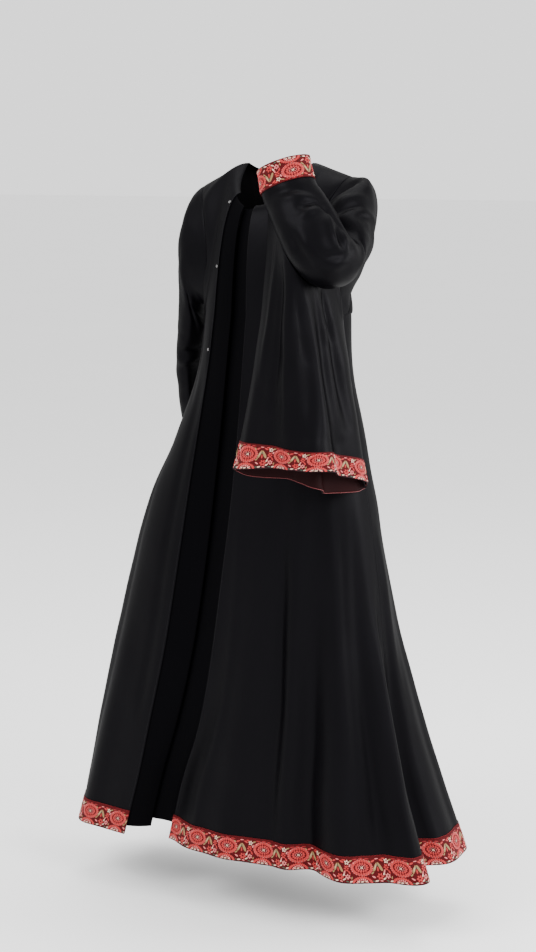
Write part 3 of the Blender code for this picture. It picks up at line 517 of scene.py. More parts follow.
# Each thread in its darker and its lighter colour
THREAD_COLOURS = {
    "coral": ((0.25, 0.010, 0.011), (0.44, 0.034, 0.030)),
    "pink": ((0.42, 0.080, 0.080), (0.60, 0.170, 0.160)),
    "cream": ((0.46, 0.270, 0.190), (0.66, 0.440, 0.340)),
    "olive": ((0.130, 0.075, 0.024), (0.300, 0.180, 0.080)),
    "green": ((0.012, 0.034, 0.020), (0.040, 0.080, 0.050)),
    "scarlet": ((0.14, 0.003, 0.005), (0.26, 0.009, 0.011)),
    "dark": ((0.010, 0.004, 0.004), (0.024, 0.010, 0.009)),
}
THREADS = tuple(THREAD_COLOURS)


def rows(names, table):
    """The rows of a table, their values under the columns' names."""
    return [dict(zip(names, row)) for row in table]


def curve(keys, values, positions):
    """A smooth curve through the values at rising keys, read at the positions."""
    slopes = np.gradient(values, keys, axis=0)
    left = np.clip(np.searchsorted(keys, positions) - 1, 0, len(keys) - 2)
    width = keys[left + 1] - keys[left]
    t = (positions - keys[left]) / width
    if values.ndim > 1:
        width = width[:, None, None]
        t = t[:, None, None]
    start = (2 * t**3 - 3 * t**2 + 1) * values[left] + (t**3 - 2 * t**2 + t) * width * slopes[left]
    end = (3 * t**2 - 2 * t**3) * values[left + 1] + (t**3 - t**2) * width * slopes[left + 1]
    return start + end


def column(table, names, name, positions, key="height"):
    """One column of a table as a smooth curve over its key, read at the positions."""
    keys = np.array([row[names.index(key)] for row in table], float)
    values = np.array([row[names.index(name)] for row in table], float)
    order = np.argsort(keys)
    return curve(keys[order], values[order], np.clip(positions, keys.min(), keys.max()))


def ease(value):
    """A step from 0 to 1 that starts and ends level."""
    value = np.clip(value, 0.0, 1.0)
    return value * value * (3.0 - 2.0 * value)


def bell(distance, reach):
    """A soft rise of 1 at no distance."""
    return np.exp(-((distance / reach) ** 2))


def unit(vectors):
    vectors = np.asarray(vectors, float)
    return vectors / np.linalg.norm(vectors, axis=-1, keepdims=True)


def along(points):
    """Distance along a line of points, or along each row of a grid, from its first point."""
    steps = np.linalg.norm(np.diff(points, axis=-2), axis=-1)
    return np.concatenate([np.zeros_like(steps[..., :1]), np.cumsum(steps, axis=-1)], axis=-1)


def upward(grid):
    """Distance up a grid from its first row, as its columns' mean."""
    return along(grid.swapaxes(0, 1)).mean(axis=0)


def grid_normals(grid, closed=False):
    """Unit normals of a grid of points, facing away from its rows' inner side."""
    across = np.gradient(grid, axis=1)
    if closed:
        across = np.roll(grid, -1, axis=1) - np.roll(grid, 1, axis=1)
    return unit(np.cross(across, np.gradient(grid, axis=0)))


def base_ring(height):
    """The smooth section at a height, from the right side seam round the front and back again."""
    right, left, front, back, squareness = (
        float(column(SECTIONS, SECTION_COLUMNS, name, height)) for name in SECTION_COLUMNS[1:]
    )
    quarters = np.linspace(-1.0, 3.0, RING_SAMPLES)
    share = quarters - np.floor(quarters)
    crowded = share**RING_CROWDING / (share**RING_CROWDING + (1.0 - share) ** RING_CROWDING)
    angle = (np.floor(quarters) + crowded) * math.pi / 2
    power = 2.0 / squareness
    across = np.sign(np.sin(angle)) * np.abs(np.sin(angle)) ** power
    ahead = np.sign(np.cos(angle)) * np.abs(np.cos(angle)) ** power
    x = across * np.where(across > 0, left, right)
    y = -ahead * np.where(ahead > 0, front, back)
    points = np.column_stack([x, y])
    return points, along(points)


def stations(height, points, arc):
    """The arc length at each whole station."""
    half = (RING_SAMPLES - 1) // 2
    edges = [float(column(OPENING, OPENING_COLUMNS, name, height)) for name in OPENING_COLUMNS[1:]]
    right, left = np.interp(edges, points[: half + 1, 0], arc[: half + 1])
    return np.array([0.0, right, left, arc[half], arc[-1]])


def fold_swell(height, arc, marks):
    """How far the folds push the section outwards at each arc length."""
    total = arc[-1]
    swell = np.zeros_like(arc)
    down = (CHEST_HEIGHT - height) / (CHEST_HEIGHT - HEM_HEIGHT)
    for fold in rows(FOLD_COLUMNS, FOLDS):
        fullest = fold["fullest"]
        grown = float(ease((fold["begins"] - height) / (fold["begins"] - fullest)))
        if height < fullest:
            grown *= 1.0 - FOLD_FADES * (fullest - height) / (fullest - HEM_HEIGHT)
        station = fold["top_station"] + (fold["hem_station"] - fold["top_station"]) * down
        distance = (arc - np.interp(station, range(5), marks) + total / 2) % total - total / 2
        reach = fold["half_width"] * (FOLD_TOP_WIDTH + (1.0 - FOLD_TOP_WIDTH) * down)
        swell += fold["depth"] * grown * bell(distance, reach)
    return swell


def outward(points):
    """Outward unit normals of a closed level section whose last point repeats its first."""
    run = np.roll(points[:-1], -1, axis=0) - np.roll(points[:-1], 1, axis=0)
    normal = unit(np.column_stack([run[:, 1], -run[:, 0]]))
    return np.vstack([normal, normal[:1]])


@lru_cache(maxsize=None)
def section(height):
    """The folded section at a height: its points, normals, arc lengths and station marks."""
    points, arc = base_ring(height)
    marks = stations(height, points, arc)
    points = points + outward(points) * fold_swell(height, arc, marks)[:, None]
    return points, outward(points), arc, marks


def level_points(height, places):
    """Points and normals at one height, at places given as stations."""
    points, normals, arc, marks = section(float(height))
    total = arc[-1]
    at = np.interp(places, range(5), marks) % total
    at = np.where((np.asarray(places) >= 4) & (at < total / 2), total, at)
    spot, normal = (
        np.column_stack([np.interp(at, arc, table[:, axis]) for axis in range(2)])
        for table in (points, normals)
    )
    flat = np.full((len(spot), 1), height)
    return np.hstack([spot, flat]), np.hstack([normal, np.zeros_like(flat)])


def top_point(place, behind):
    """Where a station's column ends: on the neckline or on the shoulder seam."""
    turn = math.radians(np.interp(place, NECK_STATIONS, NECK_TURNS))
    share = float(np.interp(place, NECK_STATIONS, SHOULDER_SHARES))
    reach, rise = NECK_BACK if behind else NECK_FRONT
    side = -1.0 if behind else 1.0
    across = NECK_HALF_WIDTH * math.sin(turn)
    ahead = math.cos(turn)
    neck = np.array([across, NECK_POINT[0] - side * reach * ahead, NECK_POINT[1] - rise * ahead])
    tip = SHOULDERS[1 if turn > 0 else -1]
    seam = np.array([0.0, -side * SEAM_GAP / 2, 0.0])
    return neck + (np.array(tip) - neck) * share + seam


def cut_to_armhole(places, share, behind):
    """The stations of a row above the chest, drawn in from each side by the armhole's curve."""
    places = np.asarray(places, float)
    cut = 0.0
    if 0.0 < share < 1.0:
        cut = math.sin(math.pi * share**ARMHOLE_CUT_LOW) ** ARMHOLE_CUT_ROUND
    if behind:
        return 3.5 + (places - 3.5) * (1.0 - 2.0 * ARMHOLE_BACK * cut)
    right = 1.0 - (1.0 - places) * (1.0 - ARMHOLE_RIGHT_FRONT * cut)
    left = 2.0 + (places - 2.0) * (1.0 - ARMHOLE_LEFT_FRONT * cut)
    return np.where(places < 1.0, right, np.where(places > 2.0, left, places))


def armhole_point(side, share, behind):
    """The armhole as an oval seen from the side, set in from the chest's and shoulder's sides."""
    up = math.sin(share * math.pi / 2)
    tip = SHOULDERS[side]
    chest = SECTIONS[0][2 if side > 0 else 1]
    x = chest + (abs(tip[0]) - chest) * share - ARMHOLE_INSET * math.sin(math.pi * up)
    half = ARMHOLE_REAR_HALF if behind else -ARMHOLE_FRONT_HALF
    y = math.sqrt(max(0.0, 1.0 - (2.0 * up - 1.0) ** 2)) * half
    return np.array([side * x, y, CHEST_HEIGHT + (tip[2] - CHEST_HEIGHT) * up])


def yoke_form(places, share, behind):
    """Points at one share of the way from the chest section to the neck and shoulders."""
    drawn = cut_to_armhole(places, share, behind)
    chest, _ = level_points(CHEST_HEIGHT, drawn)
    top = np.array([top_point(place, behind) for place in drawn])
    up = math.sin(share * math.pi / 2)
    over = (1.0 - math.cos(share * math.pi / 2)) ** YOKE_FULLNESS
    points = chest + (top - chest) * np.array([share, over, up])
    for neck_point, side in NECK_FANS:
        points[:, 0] += side * NECK_FAN * bell(drawn - neck_point, NECK_FAN_REACH) * math.sin(math.pi * share)
    return points


def yoke_row(places, share, behind):
    """Points of a row above the chest, led to the armholes at its ends."""
    points = yoke_form(places, share, behind)
    if not 0.0 < share < 1.0:
        return points
    for side, edge, reach in YOKE_LEADS[behind]:
        moved = armhole_point(side, share, behind) - yoke_form([edge], share, behind)[0]
        near = ease(1.0 - np.abs(np.asarray(places) - edge) / reach)
        points = points + near[:, None] * moved
    return points


def shoulder_normal(side):
    """Straight up from a shoulder seam, for both panels that meet there."""
    neck = np.array([side * NECK_HALF_WIDTH, *NECK_POINT])
    return side * unit(np.cross(np.array(SHOULDERS[side]) - neck, (0.0, 1.0, 0.0)))


def yoke_points(places, share, behind):
    """The same points with their outward normals."""
    places = np.asarray(places, float)
    first, last = (3.0, 4.0) if behind else (0.0, 3.0)
    ahead = yoke_row(np.minimum(places + SLOPE_STEP, last), share, behind)
    across = ahead - yoke_row(np.maximum(places - SLOPE_STEP, first), share, behind)
    above = yoke_row(places, min(1.0, share + SLOPE_STEP), behind)
    normals = unit(np.cross(across, above - yoke_row(places, share - SLOPE_STEP, behind)))
    if share == 1.0:
        on_seam = np.interp(places, NECK_STATIONS, SHOULDER_SHARES) > 0
        left = (places > 2.0) & (places < 3.5)
        common = np.where(left[:, None], shoulder_normal(1), shoulder_normal(-1))
        normals = np.where(on_seam[:, None], common, normals)
    return yoke_row(places, share, behind), normals


def body_levels(lowest):
    """Heights of the level rows, close together on the hem tape."""
    tape = np.linspace(HEM_HEIGHT, HEM_HEIGHT + HEM_TAPE_WIDTH, TAPE_ROWS)
    above = np.linspace(HEM_HEIGHT + HEM_TAPE_WIDTH, CHEST_HEIGHT, LEVELS)
    levels = np.concatenate([[HEM_HEIGHT, HEM_HEIGHT + WALL], tape[1:], above[1:]])
    return np.concatenate([[lowest], levels[levels > lowest + LEAST_STEP]])


def body_grid(places, behind, lowest=HEM_HEIGHT, yoke=YOKE_SHARES):
    """A body panel's points and normals, row by row from the hem to the neck and shoulders."""
    found = [level_points(height, places) for height in body_levels(lowest)]
    found += [yoke_points(places, share, behind) for share in yoke]
    return np.array([row[0] for row in found]), np.array([row[1] for row in found])


@lru_cache(maxsize=None)
def armhole_ring(side):
    """The armhole's points and normals, from the underarm over the front to the shoulder and back."""
    found = []
    for step in range(SLEEVE_SIDES):
        behind = step > len(YOKE_SHARES)
        share = ((0.0,) + YOKE_SHARES)[SLEEVE_SIDES - step if behind else step]
        place = 3.0 if side > 0 else (4.0 if behind else 0.0)
        spot, normal = yoke_points([place], share, behind) if share else level_points(CHEST_HEIGHT, [place])
        found.append((spot[0] * np.array([1.0, share < 1.0, 1.0]), normal[0]))
    return np.array([row[0] for row in found]), np.array([row[1] for row in found])


@lru_cache(maxsize=None)
def armhole_mitre(side):
    """How the walls lean where a sleeve meets the panels, halfway between the two."""
    _, panel = armhole_ring(side)
    sleeve = -side * grid_normals(sleeve_points(side), closed=True)[0]
    return (panel + sleeve) / (1.0 + (panel * sleeve).sum(axis=1))[:, None]


def sleeve_ring(row):
    """One oval section of a sleeve, its first point on the seam that carries the drop."""
    top = np.array(row["top"])
    bottom = np.array(row["bottom"])
    half = (bottom - top) / 2
    turn = math.radians(row["swing"])
    side = math.copysign(1.0, top[0])
    across = np.array([-side * math.sin(turn), -math.cos(turn), row["rise"]])
    across = unit(across - unit(half) * (across @ unit(half))) * row["wide"]
    turns = math.radians(row["seam"]) + 2 * math.pi * np.arange(SLEEVE_SIDES) / SLEEVE_SIDES
    return (top + bottom) / 2 + np.outer(np.cos(turns), half) + np.outer(np.sin(turns), across)


def sleeve_points(side):
    """All rings of a sleeve. The first keeps the seam's gap from the panels' edges."""
    ring, normals = armhole_ring(side)
    tangent = np.roll(ring, -1, axis=0) - np.roll(ring, 1, axis=0)
    away = side * unit(np.cross(tangent, normals))
    others = [sleeve_ring(row) for row in rows(SLEEVE_COLUMNS, SLEEVES[side])]
    return np.array([ring + away * SEAM_GAP, *others])


def smooth_rows(grid, count, kept):
    """A grid of rings resampled smoothly along its length, and where the kept rings come."""
    steps = np.linalg.norm(np.diff(grid, axis=0), axis=2).mean(axis=1)
    keys = np.concatenate([[0.0], np.cumsum(steps)])
    marks = sorted({0, len(grid) - 1, *kept})
    places = [np.array([0.0])]
    for first, last in zip(marks, marks[1:]):
        number = max(2, round(count * (keys[last] - keys[first]) / keys[-1]))
        places.append(np.linspace(keys[first], keys[last], number + 1)[1:])
    places = np.concatenate(places)
    return curve(keys, grid, places), [int(np.argmin(np.abs(places - keys[mark]))) for mark in kept]


@lru_cache(maxsize=None)
def fine_sleeve(side):
    """A sleeve's smooth grid and normals before creasing, and the rings of its drop and tape."""
    coarse = sleeve_points(side)
    count = len(coarse)
    grid, rings = smooth_rows(coarse, SLEEVE_ROWS, (FIRST_DROP_RING[side], count - 4, count - 3, count - 2))
    if side > 0:
        grid = np.roll(grid[:, ::-1], 1, axis=1)
    return grid, grid_normals(grid, closed=True), rings


def ripple(grid, height, size, seed):
    """A slow unevenness in space, about as high as said, that no two places share."""
    spots = (grid.reshape(-1, 3) / size + np.array(seed)).tolist()
    return height * np.array([noise.noise(Vector(spot)) for spot in spots]).reshape(grid.shape[:2])


def fine_swell(grid, places, folds):
    """How far a panel's smaller folds stand out at each of its points."""
    run = along(grid)
    height = grid[:, :, 2].mean(axis=1)
    swell = np.zeros(run.shape)
    for fold in rows(FINE_COLUMNS, folds):
        down = np.clip((fold["top"] - height) / (fold["top"] - fold["low"]), 0.0, 1.0)
        station = fold["top_station"] + (fold["low_station"] - fold["top_station"]) * down
        centre = np.array([np.interp(s, places, line) for s, line in zip(station, run)])
        centre += FINE_WANDER * np.sin(height * WANDER_DOWN + fold["top_station"] * WANDER_ACROSS)
        ends = ease((fold["top"] - height) / FINE_BEGINS) * ease((height - fold["low"]) / FINE_ENDS)
        swell += fold["depth"] * bell(run - centre[:, None], fold["half_width"]) * ends[:, None]
    return swell


def crease_swell(share, turn, scale, creases):
    """How far creases stand out at each share along and turn round, as capsules in that space."""
    scale = np.array(scale)
    x = share * scale[0] + 0 * turn
    y = turn * scale[1] + 0 * share
    swell = np.zeros(x.shape)
    for crease in rows(CREASE_COLUMNS, creases):
        start = np.array([crease["share"], crease["turn"]]) * scale
        line = np.array([crease["end_share"], crease["end_turn"]]) * scale - start
        at = np.clip(((x - start[0]) * line[0] + (y - start[1]) * line[1]) / (line @ line), 0.0, 1.0)
        away = np.hypot(x - start[0] - at * line[0], y - start[1] - at * line[1])
        fades = np.sin(np.pi * np.clip(at * (1 - 2 * CREASE_TIP) + CREASE_TIP, 0, 1)) ** CREASE_ROUND
        swell += crease["depth"] * fades * bell(away, crease["half_width"])
    return swell


def rolled(points, normals, lean):
    """Close columns added at the first edge, which is rolled under as a seam's edge is."""
    near = points[:, :1] + (points[:, 1:2] - points[:, :1]) * np.array(ROLL_PLACES)[None, :, None]
    facing = np.repeat(normals[:, :1], 2, axis=1)
    near = near - facing * ROLL_DEPTH * np.array(ROLL_SINKS)[None, :, None]
    points = np.concatenate([points[:, :1] - lean * ROLL_DEPTH, near, points[:, 1:]], axis=1)
    return points, np.concatenate([normals[:, :1], facing, normals[:, 1:]], axis=1)


def sewn_edges(name, grid, normals):
    """A panel with its sewn edges rolled under, at the armholes as its neighbour's are."""
    count = len(YOKE_SHARES) + 1
    front = list(range(count))
    rear = [-row % SLEEVE_SIDES for row in front]
    edges = {"front_right": (-1, None), "front_left": (None, 1), "back": (1, -1)}[name]
    picked = rear if name == "back" else front
    for side in edges:
        if side:
            lean = normals[:, :1].copy()
            lean[-count:, 0] = armhole_mitre(side)[picked]
            grid, normals = rolled(grid, normals, lean)
        grid = grid[:, ::-1]
        normals = normals[:, ::-1]
    return grid, normals


# Meshes and materials


def new_piece(name, points, faces, numbers, layout, materials):
    """A smooth mesh. Numbers say each face's material, and layout each corner's place in metres."""
    mesh = bpy.data.meshes.new(name)
    mesh.from_pydata(points, [], faces)
    mesh.polygons.foreach_set("material_index", numbers)
    if layout is not None:
        mesh.uv_layers.new(name="metres").data.foreach_set("uv", layout.ravel())
    mesh.shade_smooth()
    for material in materials:
        mesh.materials.append(material)
    piece = bpy.data.objects.new(name, mesh)
    bpy.context.scene.collection.objects.link(piece)
    return piece


def corners(table):
    """The values of a grid at each face's four corners."""
    return np.stack([table[:-1, :-1], table[:-1, 1:], table[1:, 1:], table[1:, :-1]], axis=2)


def sheet_mesh(name, grid, thickness, materials, closed=False, band=0, flip=False):
    """A thin cloth shell on a grid. Rows before band get the second material and wrong side."""
    count, width = grid.shape[:2]
    index = np.arange(count * width).reshape(count, width)
    if closed:
        index = np.hstack([index, index[:, :1]])
    run = along(grid.reshape(-1, 3)[index])
    run = run - run[:, run.shape[1] // 2][:, None]
    rise = np.broadcast_to(upward(grid)[:, None], run.shape)
    order = slice(None, None, -1 if flip else 1)
    faces = corners(index).reshape(-1, 4)[:, order]
    layout = np.stack([corners(run), corners(rise)], axis=3).reshape(-1, 4, 2)[:, order]
    numbers = np.repeat(np.arange(count - 1) < band, index.shape[1] - 1).astype(int)
    piece = new_piece(name, grid.reshape(-1, 3).tolist(), faces.tolist(), numbers, layout, materials)
    shell = piece.modifiers.new("Cloth", "SOLIDIFY")
    shell.thickness = thickness
    shell.offset = 0.0
    shell.material_offset = len(materials) // 2
    return piece


def add(tree, kind, settings=(), **inputs):
    """A shader node. Inputs are values or sockets, named with _ for each blank."""
    node = tree.nodes.new("ShaderNode" + kind)
    for key, value in dict(settings).items():
        setattr(node, key, value)
    for key, value in inputs.items():
        socket = node.inputs[int(key[1:])] if key[1:].isdigit() else node.inputs[key.replace("_", " ")]
        if isinstance(value, bpy.types.NodeSocket):
            tree.links.new(value, socket)
        else:
            socket.default_value = value
    return node


def new_material(name, **constants):
    """A Principled material whose constants are set on the shader's own sockets."""
    material = bpy.data.materials.new(name)
    material.use_nodes = True
    tree = material.node_tree
    shader = tree.nodes["Principled BSDF"]
    for key, value in constants.items():
        shader.inputs[key.replace("_", " ")].default_value = value
    return material, tree, shader


def metres(tree, scale=(1, 1, 1)):
    """The sheet's own coordinates, in metres from its middle and its hem, scaled."""
    place = add(tree, "TexCoord")
    return add(tree, "Mapping", Vector=place.outputs["UV"], Scale=scale).outputs["Vector"]


def cells(tree, across, up, detail=2.0):
    """Noise on the cloth, with so many cells to the metre each way."""
    place = metres(tree, (across, up, 1))
    return add(tree, "TexNoise", Vector=place, Scale=1.0, Detail=detail).outputs["Fac"]


def ribs(tree, direction, scale, **more):
    """Waves on the cloth, as its threads lie."""
    wave = add(tree, "TexWave", {"bands_direction": direction}, Vector=metres(tree), Scale=scale, **more)
    return wave.outputs["Fac"]


def ranged(tree, value, low, high):
    return add(tree, "MapRange", Value=value, To_Min=low, To_Max=high).outputs["Result"]


def dress(tree, shader, tone, colours, shine, rough, bumps=()):
    """Colour between two by a tone, roughness by another, and bumps laid over one another."""
    mix = add(tree, "Mix", {"data_type": "RGBA"}, _0=tone)
    for socket, colour in zip("AB", colours):
        mix.inputs[socket].default_value = (*colour, 1.0)
    blend = next(socket for socket in mix.outputs if socket.type == "RGBA")
    tree.links.new(blend, shader.inputs["Base Color"])
    if rough:
        tree.links.new(ranged(tree, shine, *rough), shader.inputs["Roughness"])
    below = {}
    for height, strength, distance in bumps:
        bump = add(tree, "Bump", Height=height, Strength=strength, Distance=distance, **below)
        below = {"Normal": bump.outputs["Normal"]}
    if bumps:
        tree.links.new(below["Normal"], shader.inputs["Normal"])


def satin(name, colours, rough, specular, tint):
    """Crepe satin: fine crossing threads, a faint crinkle, and a sheen that fades where it turns away."""
    material, tree, shader = new_material(name, Specular_Tint=(*tint, 1.0))
    turned = add(tree, "LayerWeight", Blend=0.5).outputs["Facing"]
    tree.links.new(ranged(tree, turned, specular, 0.0), shader.inputs["Specular IOR Level"])
    threads = ribs(tree, "DIAGONAL", 330.0, Distortion=1.2, Detail_Scale=3.0)
    crepe = cells(tree, 1500, 900)
    crinkle = cells(tree, 60, 26, 3.0)
    patches = cells(tree, 9, 5)
    both = add(tree, "Math", {"operation": "MULTIPLY_ADD"}, _0=crepe, _1=0.5, _2=patches).outputs[0]
    bumps = ((crinkle, 0.20, 0.0012), (crepe, 0.25, 0.0002), (threads, 0.15, 0.0002))
    dress(tree, shader, patches, colours, both, (rough - 0.10, rough + 0.10), bumps)
    return material


def woven_ground(name, *colours):
    """The tape's ground: close ribs across its length, with uneven dye."""
    material, tree, shader = new_material(name, Specular_IOR_Level=0.08)
    dye = cells(tree, 300, 300, 3.0)
    bumps = ((ribs(tree, "X", 300.0), 0.5, 0.0003), (ribs(tree, "Y", 420.0), 0.3, 0.0002))
    dress(tree, shader, dye, colours, dye, (0.60, 0.85), bumps)
    return material


def thread(name, *colours):
    """Silky weft thread of the tape's flowers, with the strands along each petal."""
    material, tree, shader = new_material(name, Specular_IOR_Level=0.20)
    tone = cells(tree, 500, 900)
    dress(tree, shader, tone, colours, tone, (0.38, 0.60), ((ribs(tree, "Y", 800.0), 0.4, 0.0002),))
    return material


def worn(tree, scale, detail):
    """Noise in an object's own space."""
    place = add(tree, "TexCoord").outputs["Object"]
    return add(tree, "TexNoise", Vector=place, Scale=scale, Detail=detail).outputs["Fac"]


def nickel(name):
    """Polished nickel with a worn, slightly uneven finish."""
    material, tree, shader = new_material(name, Metallic=1.0)
    wear = worn(tree, 900.0, 4.0)
    greys = ((0.10, 0.10, 0.10), (0.22, 0.21, 0.21))
    dress(tree, shader, wear, greys, wear, (0.16, 0.36), ((wear, 0.1, 0.0001),))
    return material


# The tape's flowers and the stitches


def repeat_petals():
    """All petals of one repeat: x, y, length, width, turn and thread number."""
    petals = []
    for ring in rows(RING_COLUMNS, PETAL_RINGS):
        closed = ring["end"] - ring["start"] >= 360
        turns = np.linspace(ring["start"], ring["end"], ring["petals"] + closed)[: ring["petals"]]
        for turn in np.radians(turns):
            x = ring["x"] + ring["reach_x"] * math.cos(turn)
            y = ring["y"] + ring["reach_y"] * math.sin(turn)
            facing = math.atan2(ring["reach_x"] * math.sin(turn), ring["reach_y"] * math.cos(turn))
            petals.append((x, y, ring["length"], ring["width"], facing, THREADS.index(ring["thread"])))
    for x, y, length, width, turn, colour in PETALS:
        petals.append((x, y, length, width, math.radians(turn), THREADS.index(colour)))
    return petals


def laid_on(grid, normals, u, v, lift):
    """Points at distances along and up a tape's grid, lifted off it."""
    run = along(grid).mean(axis=0)
    rise = upward(grid)
    column_at = np.interp(u, run, np.arange(len(run)))
    row_at = np.interp(v, rise, np.arange(len(rise)))
    c = np.clip(column_at.astype(int), 0, len(run) - 2)
    r = np.clip(row_at.astype(int), 0, len(rise) - 2)
    a = (column_at - c)[:, None]
    b = (row_at - r)[:, None]

    def read(table):
        low = table[r, c] * (1 - a) + table[r, c + 1] * a
        return low * (1 - b) + (table[r + 1, c] * (1 - a) + table[r + 1, c + 1] * a) * b

    return read(grid) + unit(read(normals)) * lift[:, None]


def pad_shape(length, width, taper=0.0):
    """One pad's points in its own plane: a rim, an inner rim and a crown."""
    turns = 2 * np.pi * np.arange(RIM) / RIM
    x = np.cos(turns) * length / 2
    y = np.sin(turns) * width / 2 * (1.0 - taper * np.cos(turns))
    outline = np.column_stack([x, y])
    return np.concatenate([outline, outline * INNER_RIM, [[0.0, 0.0]]])


def pad_heights(rim, inner, crown):
    return np.concatenate([np.full(RIM, rim), np.full(RIM, inner), [crown]])


def pads_mesh(name, spots, coordinates, numbers, materials, flip=False):
    """Raised pads from the points of each one's rims and crown."""
    side = np.arange(RIM)
    after = (side + 1) % RIM
    walls = np.column_stack([side, after, after + RIM, side + RIM])
    tops = np.column_stack([side + RIM, after + RIM, np.full(RIM, 2 * RIM)])
    faces = []
    for start in range(0, len(spots), 2 * RIM + 1):
        for wall, top in zip((walls + start).tolist(), (tops + start).tolist()):
            faces += [wall, top]
    if flip:
        faces = [face[::-1] for face in faces]
    layout = coordinates[np.concatenate(faces)]
    return new_piece(name, spots.tolist(), faces, np.repeat(numbers, 2 * RIM), layout, materials)


def flowers(name, grid, normals, width, start, materials, flip):
    """The tape's flowers over its whole length, from one repeat charted above."""
    length = along(grid).mean(axis=0)[-1]
    heights = pad_heights(*PETAL_HEIGHTS)
    petals = repeat_petals()
    by_repeat, by_place, by_row = PETAL_SHIFTS
    u, v, lift, coordinates, numbers = [], [], [], [], []
    for turn in range(-1, int(length / REPEAT) + 2):
        for order, (x, y, long, wide, facing, number) in enumerate(petals):
            shape = pad_shape(long, wide, PETAL_TAPER) / 1000
            ahead = np.array([math.cos(facing), math.sin(facing)])
            turned = shape @ np.array([ahead, (-ahead[1], ahead[0])])
            at = start + turn * REPEAT + x / 1000 + turned[:, 0]
            if at.max() < TAPE_END or at.min() > length - TAPE_END:
                continue
            u.append(np.clip(at, PETAL_END, length - PETAL_END))
            up = (y / 1000 + turned[:, 1]) * width / CHART_WIDTH
            v.append(np.clip(up, PETAL_LOW, width + PETAL_OVER))
            lift.append(heights + TAPE_WALL / 2 + PETAL_STEP * (order % 5))
            coordinates.append(shape + np.array([turn * by_repeat + x * by_place, y * by_row]))
            numbers.append(number)
    spots = laid_on(grid, normals, *(np.concatenate(part) for part in (u, v, lift)))
    return pads_mesh(name, spots, np.concatenate(coordinates), numbers, materials, flip)


def stitches(name, lines, material, pitch, length=0.0022, width=0.00045, height=0.0002):
    """Rows of small stitches. Each line is its points and outward normals."""
    shape = pad_shape(length, width)
    heights = pad_heights(STITCH_RIM, height * STITCH_SHOULDER, height)
    spots, coordinates = [], []
    for points, normals in lines:
        run = along(points)
        for at in np.arange(pitch / 2, run[-1], pitch):
            spot, ahead, facing = (
                np.array([np.interp(at + step, run, table[:, axis]) for axis in range(3)])
                for step, table in ((0.0, points), (STITCH_STEP, points), (0.0, normals))
            )
            ahead = unit(ahead - spot if np.linalg.norm(ahead - spot) > 1e-7 else points[-1] - points[-2])
            facing = unit(facing)
            flat = np.outer(shape[:, 0], ahead) + np.outer(shape[:, 1], np.cross(facing, ahead))
            spots.append(spot + flat + np.outer(heights, facing))
            coordinates.append(shape + at)
    numbers = np.zeros(len(spots), int)
    return pads_mesh(name, np.concatenate(spots), np.concatenate(coordinates), numbers, [material])


# The garment


def trim(piece):
    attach(piece, "root")


def finish_sheet(piece, node, grid, closed=False):
    """Works out a sheet's flat size and area, with a little for what the pose takes up, but keeps neither;
    attaches the sheet and hides its node's solid.
    """
    if closed:
        grid = np.concatenate([grid, grid[:, :1]], axis=1)
    sides = np.cross(grid[1:, 1:] - grid[:-1, :-1], grid[1:, :-1] - grid[:-1, 1:])
    area = float(np.linalg.norm(sides, axis=2).sum() / 2) * CUT_EASE
    wide = float(along(grid)[:, -1].max()) * CUT_EASE
    long = min(float(along(grid.swapaxes(0, 1))[:, -1].max()) * CUT_EASE, area / (LEAST_FILL * wide))
    area = round(min(area, wide * long * MOST_FILL), 4)
    trim(piece)
    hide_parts(node)


def lay_tape(name, node, cloth, base, laid, width, start, looks, sewn=None, **shape):
    """A tape on a sheet's hem with its flowers. Laid is its points and normals as the flowers run."""
    tape = sheet_mesh(f"{name}_tape", base, TAPE_WALL, looks["tape_slots"], **shape)
    closed = shape.get("closed", False)
    pieces = [flowers(f"{name}_flowers", *laid, width, start, looks["threads"], closed)]
    if sewn:
        pieces.append(stitches(*sewn))
    finish_sheet(tape, node, base, closed)
    for piece in pieces:
        trim(piece)


def make_body(looks):
    """Both fronts and the back with their hem tape, flowers and edge stitching."""
    edges = []
    for name, first, last, columns, level, start, edge in PANELS:
        places = np.linspace(first, last, columns)
        grid, normals = body_grid(places, name == "back")
        still = ease((RIPPLE_TOP - grid[:, :, 2]) / RIPPLE_FADES)
        swell = fine_swell(grid, places, FINE_FOLDS[name])
        swell += ripple(grid, *BODY_RIPPLE) * still
        sewn = np.minimum(np.abs(places - first), np.abs(places - last)) / level
        grid = grid + normals * (swell * ease(sewn)[None])[:, :, None]
        count = TAPE_ROWS + 1
        facing = normals[:count]
        # The stitches on the hem's tape face as the panel's top row does
        top_row = normals[-1]
        base = grid[:count] + facing * TAPE_LIFT
        grid, normals = sewn_edges(name, grid, normals)
        cloth = sheet_mesh(f"{name}_cloth", grid, WALL, looks["cloth_slots"], band=TAPE_ROWS)
        finish_sheet(cloth, name, grid)
        rim = [(base[-1] + facing[-1] * (TAPE_WALL / 2), top_row)]
        sewing = (f"{name}_tape_sewing", rim, looks["red_stitch"], TAPE_STITCH)
        lay_tape(name, f"hem_tape_{name}", f"{name}_cloth", base, (base, facing), HEM_TAPE_WIDTH, start,
                 looks, sewing, band=1)
        if edge is not None:
            edges.append(((grid + normals * WALL / 2)[:, edge], normals[:, edge]))
    trim(stitches("front_edge_sewing", edges, looks["black_stitch"], EDGE_STITCH))


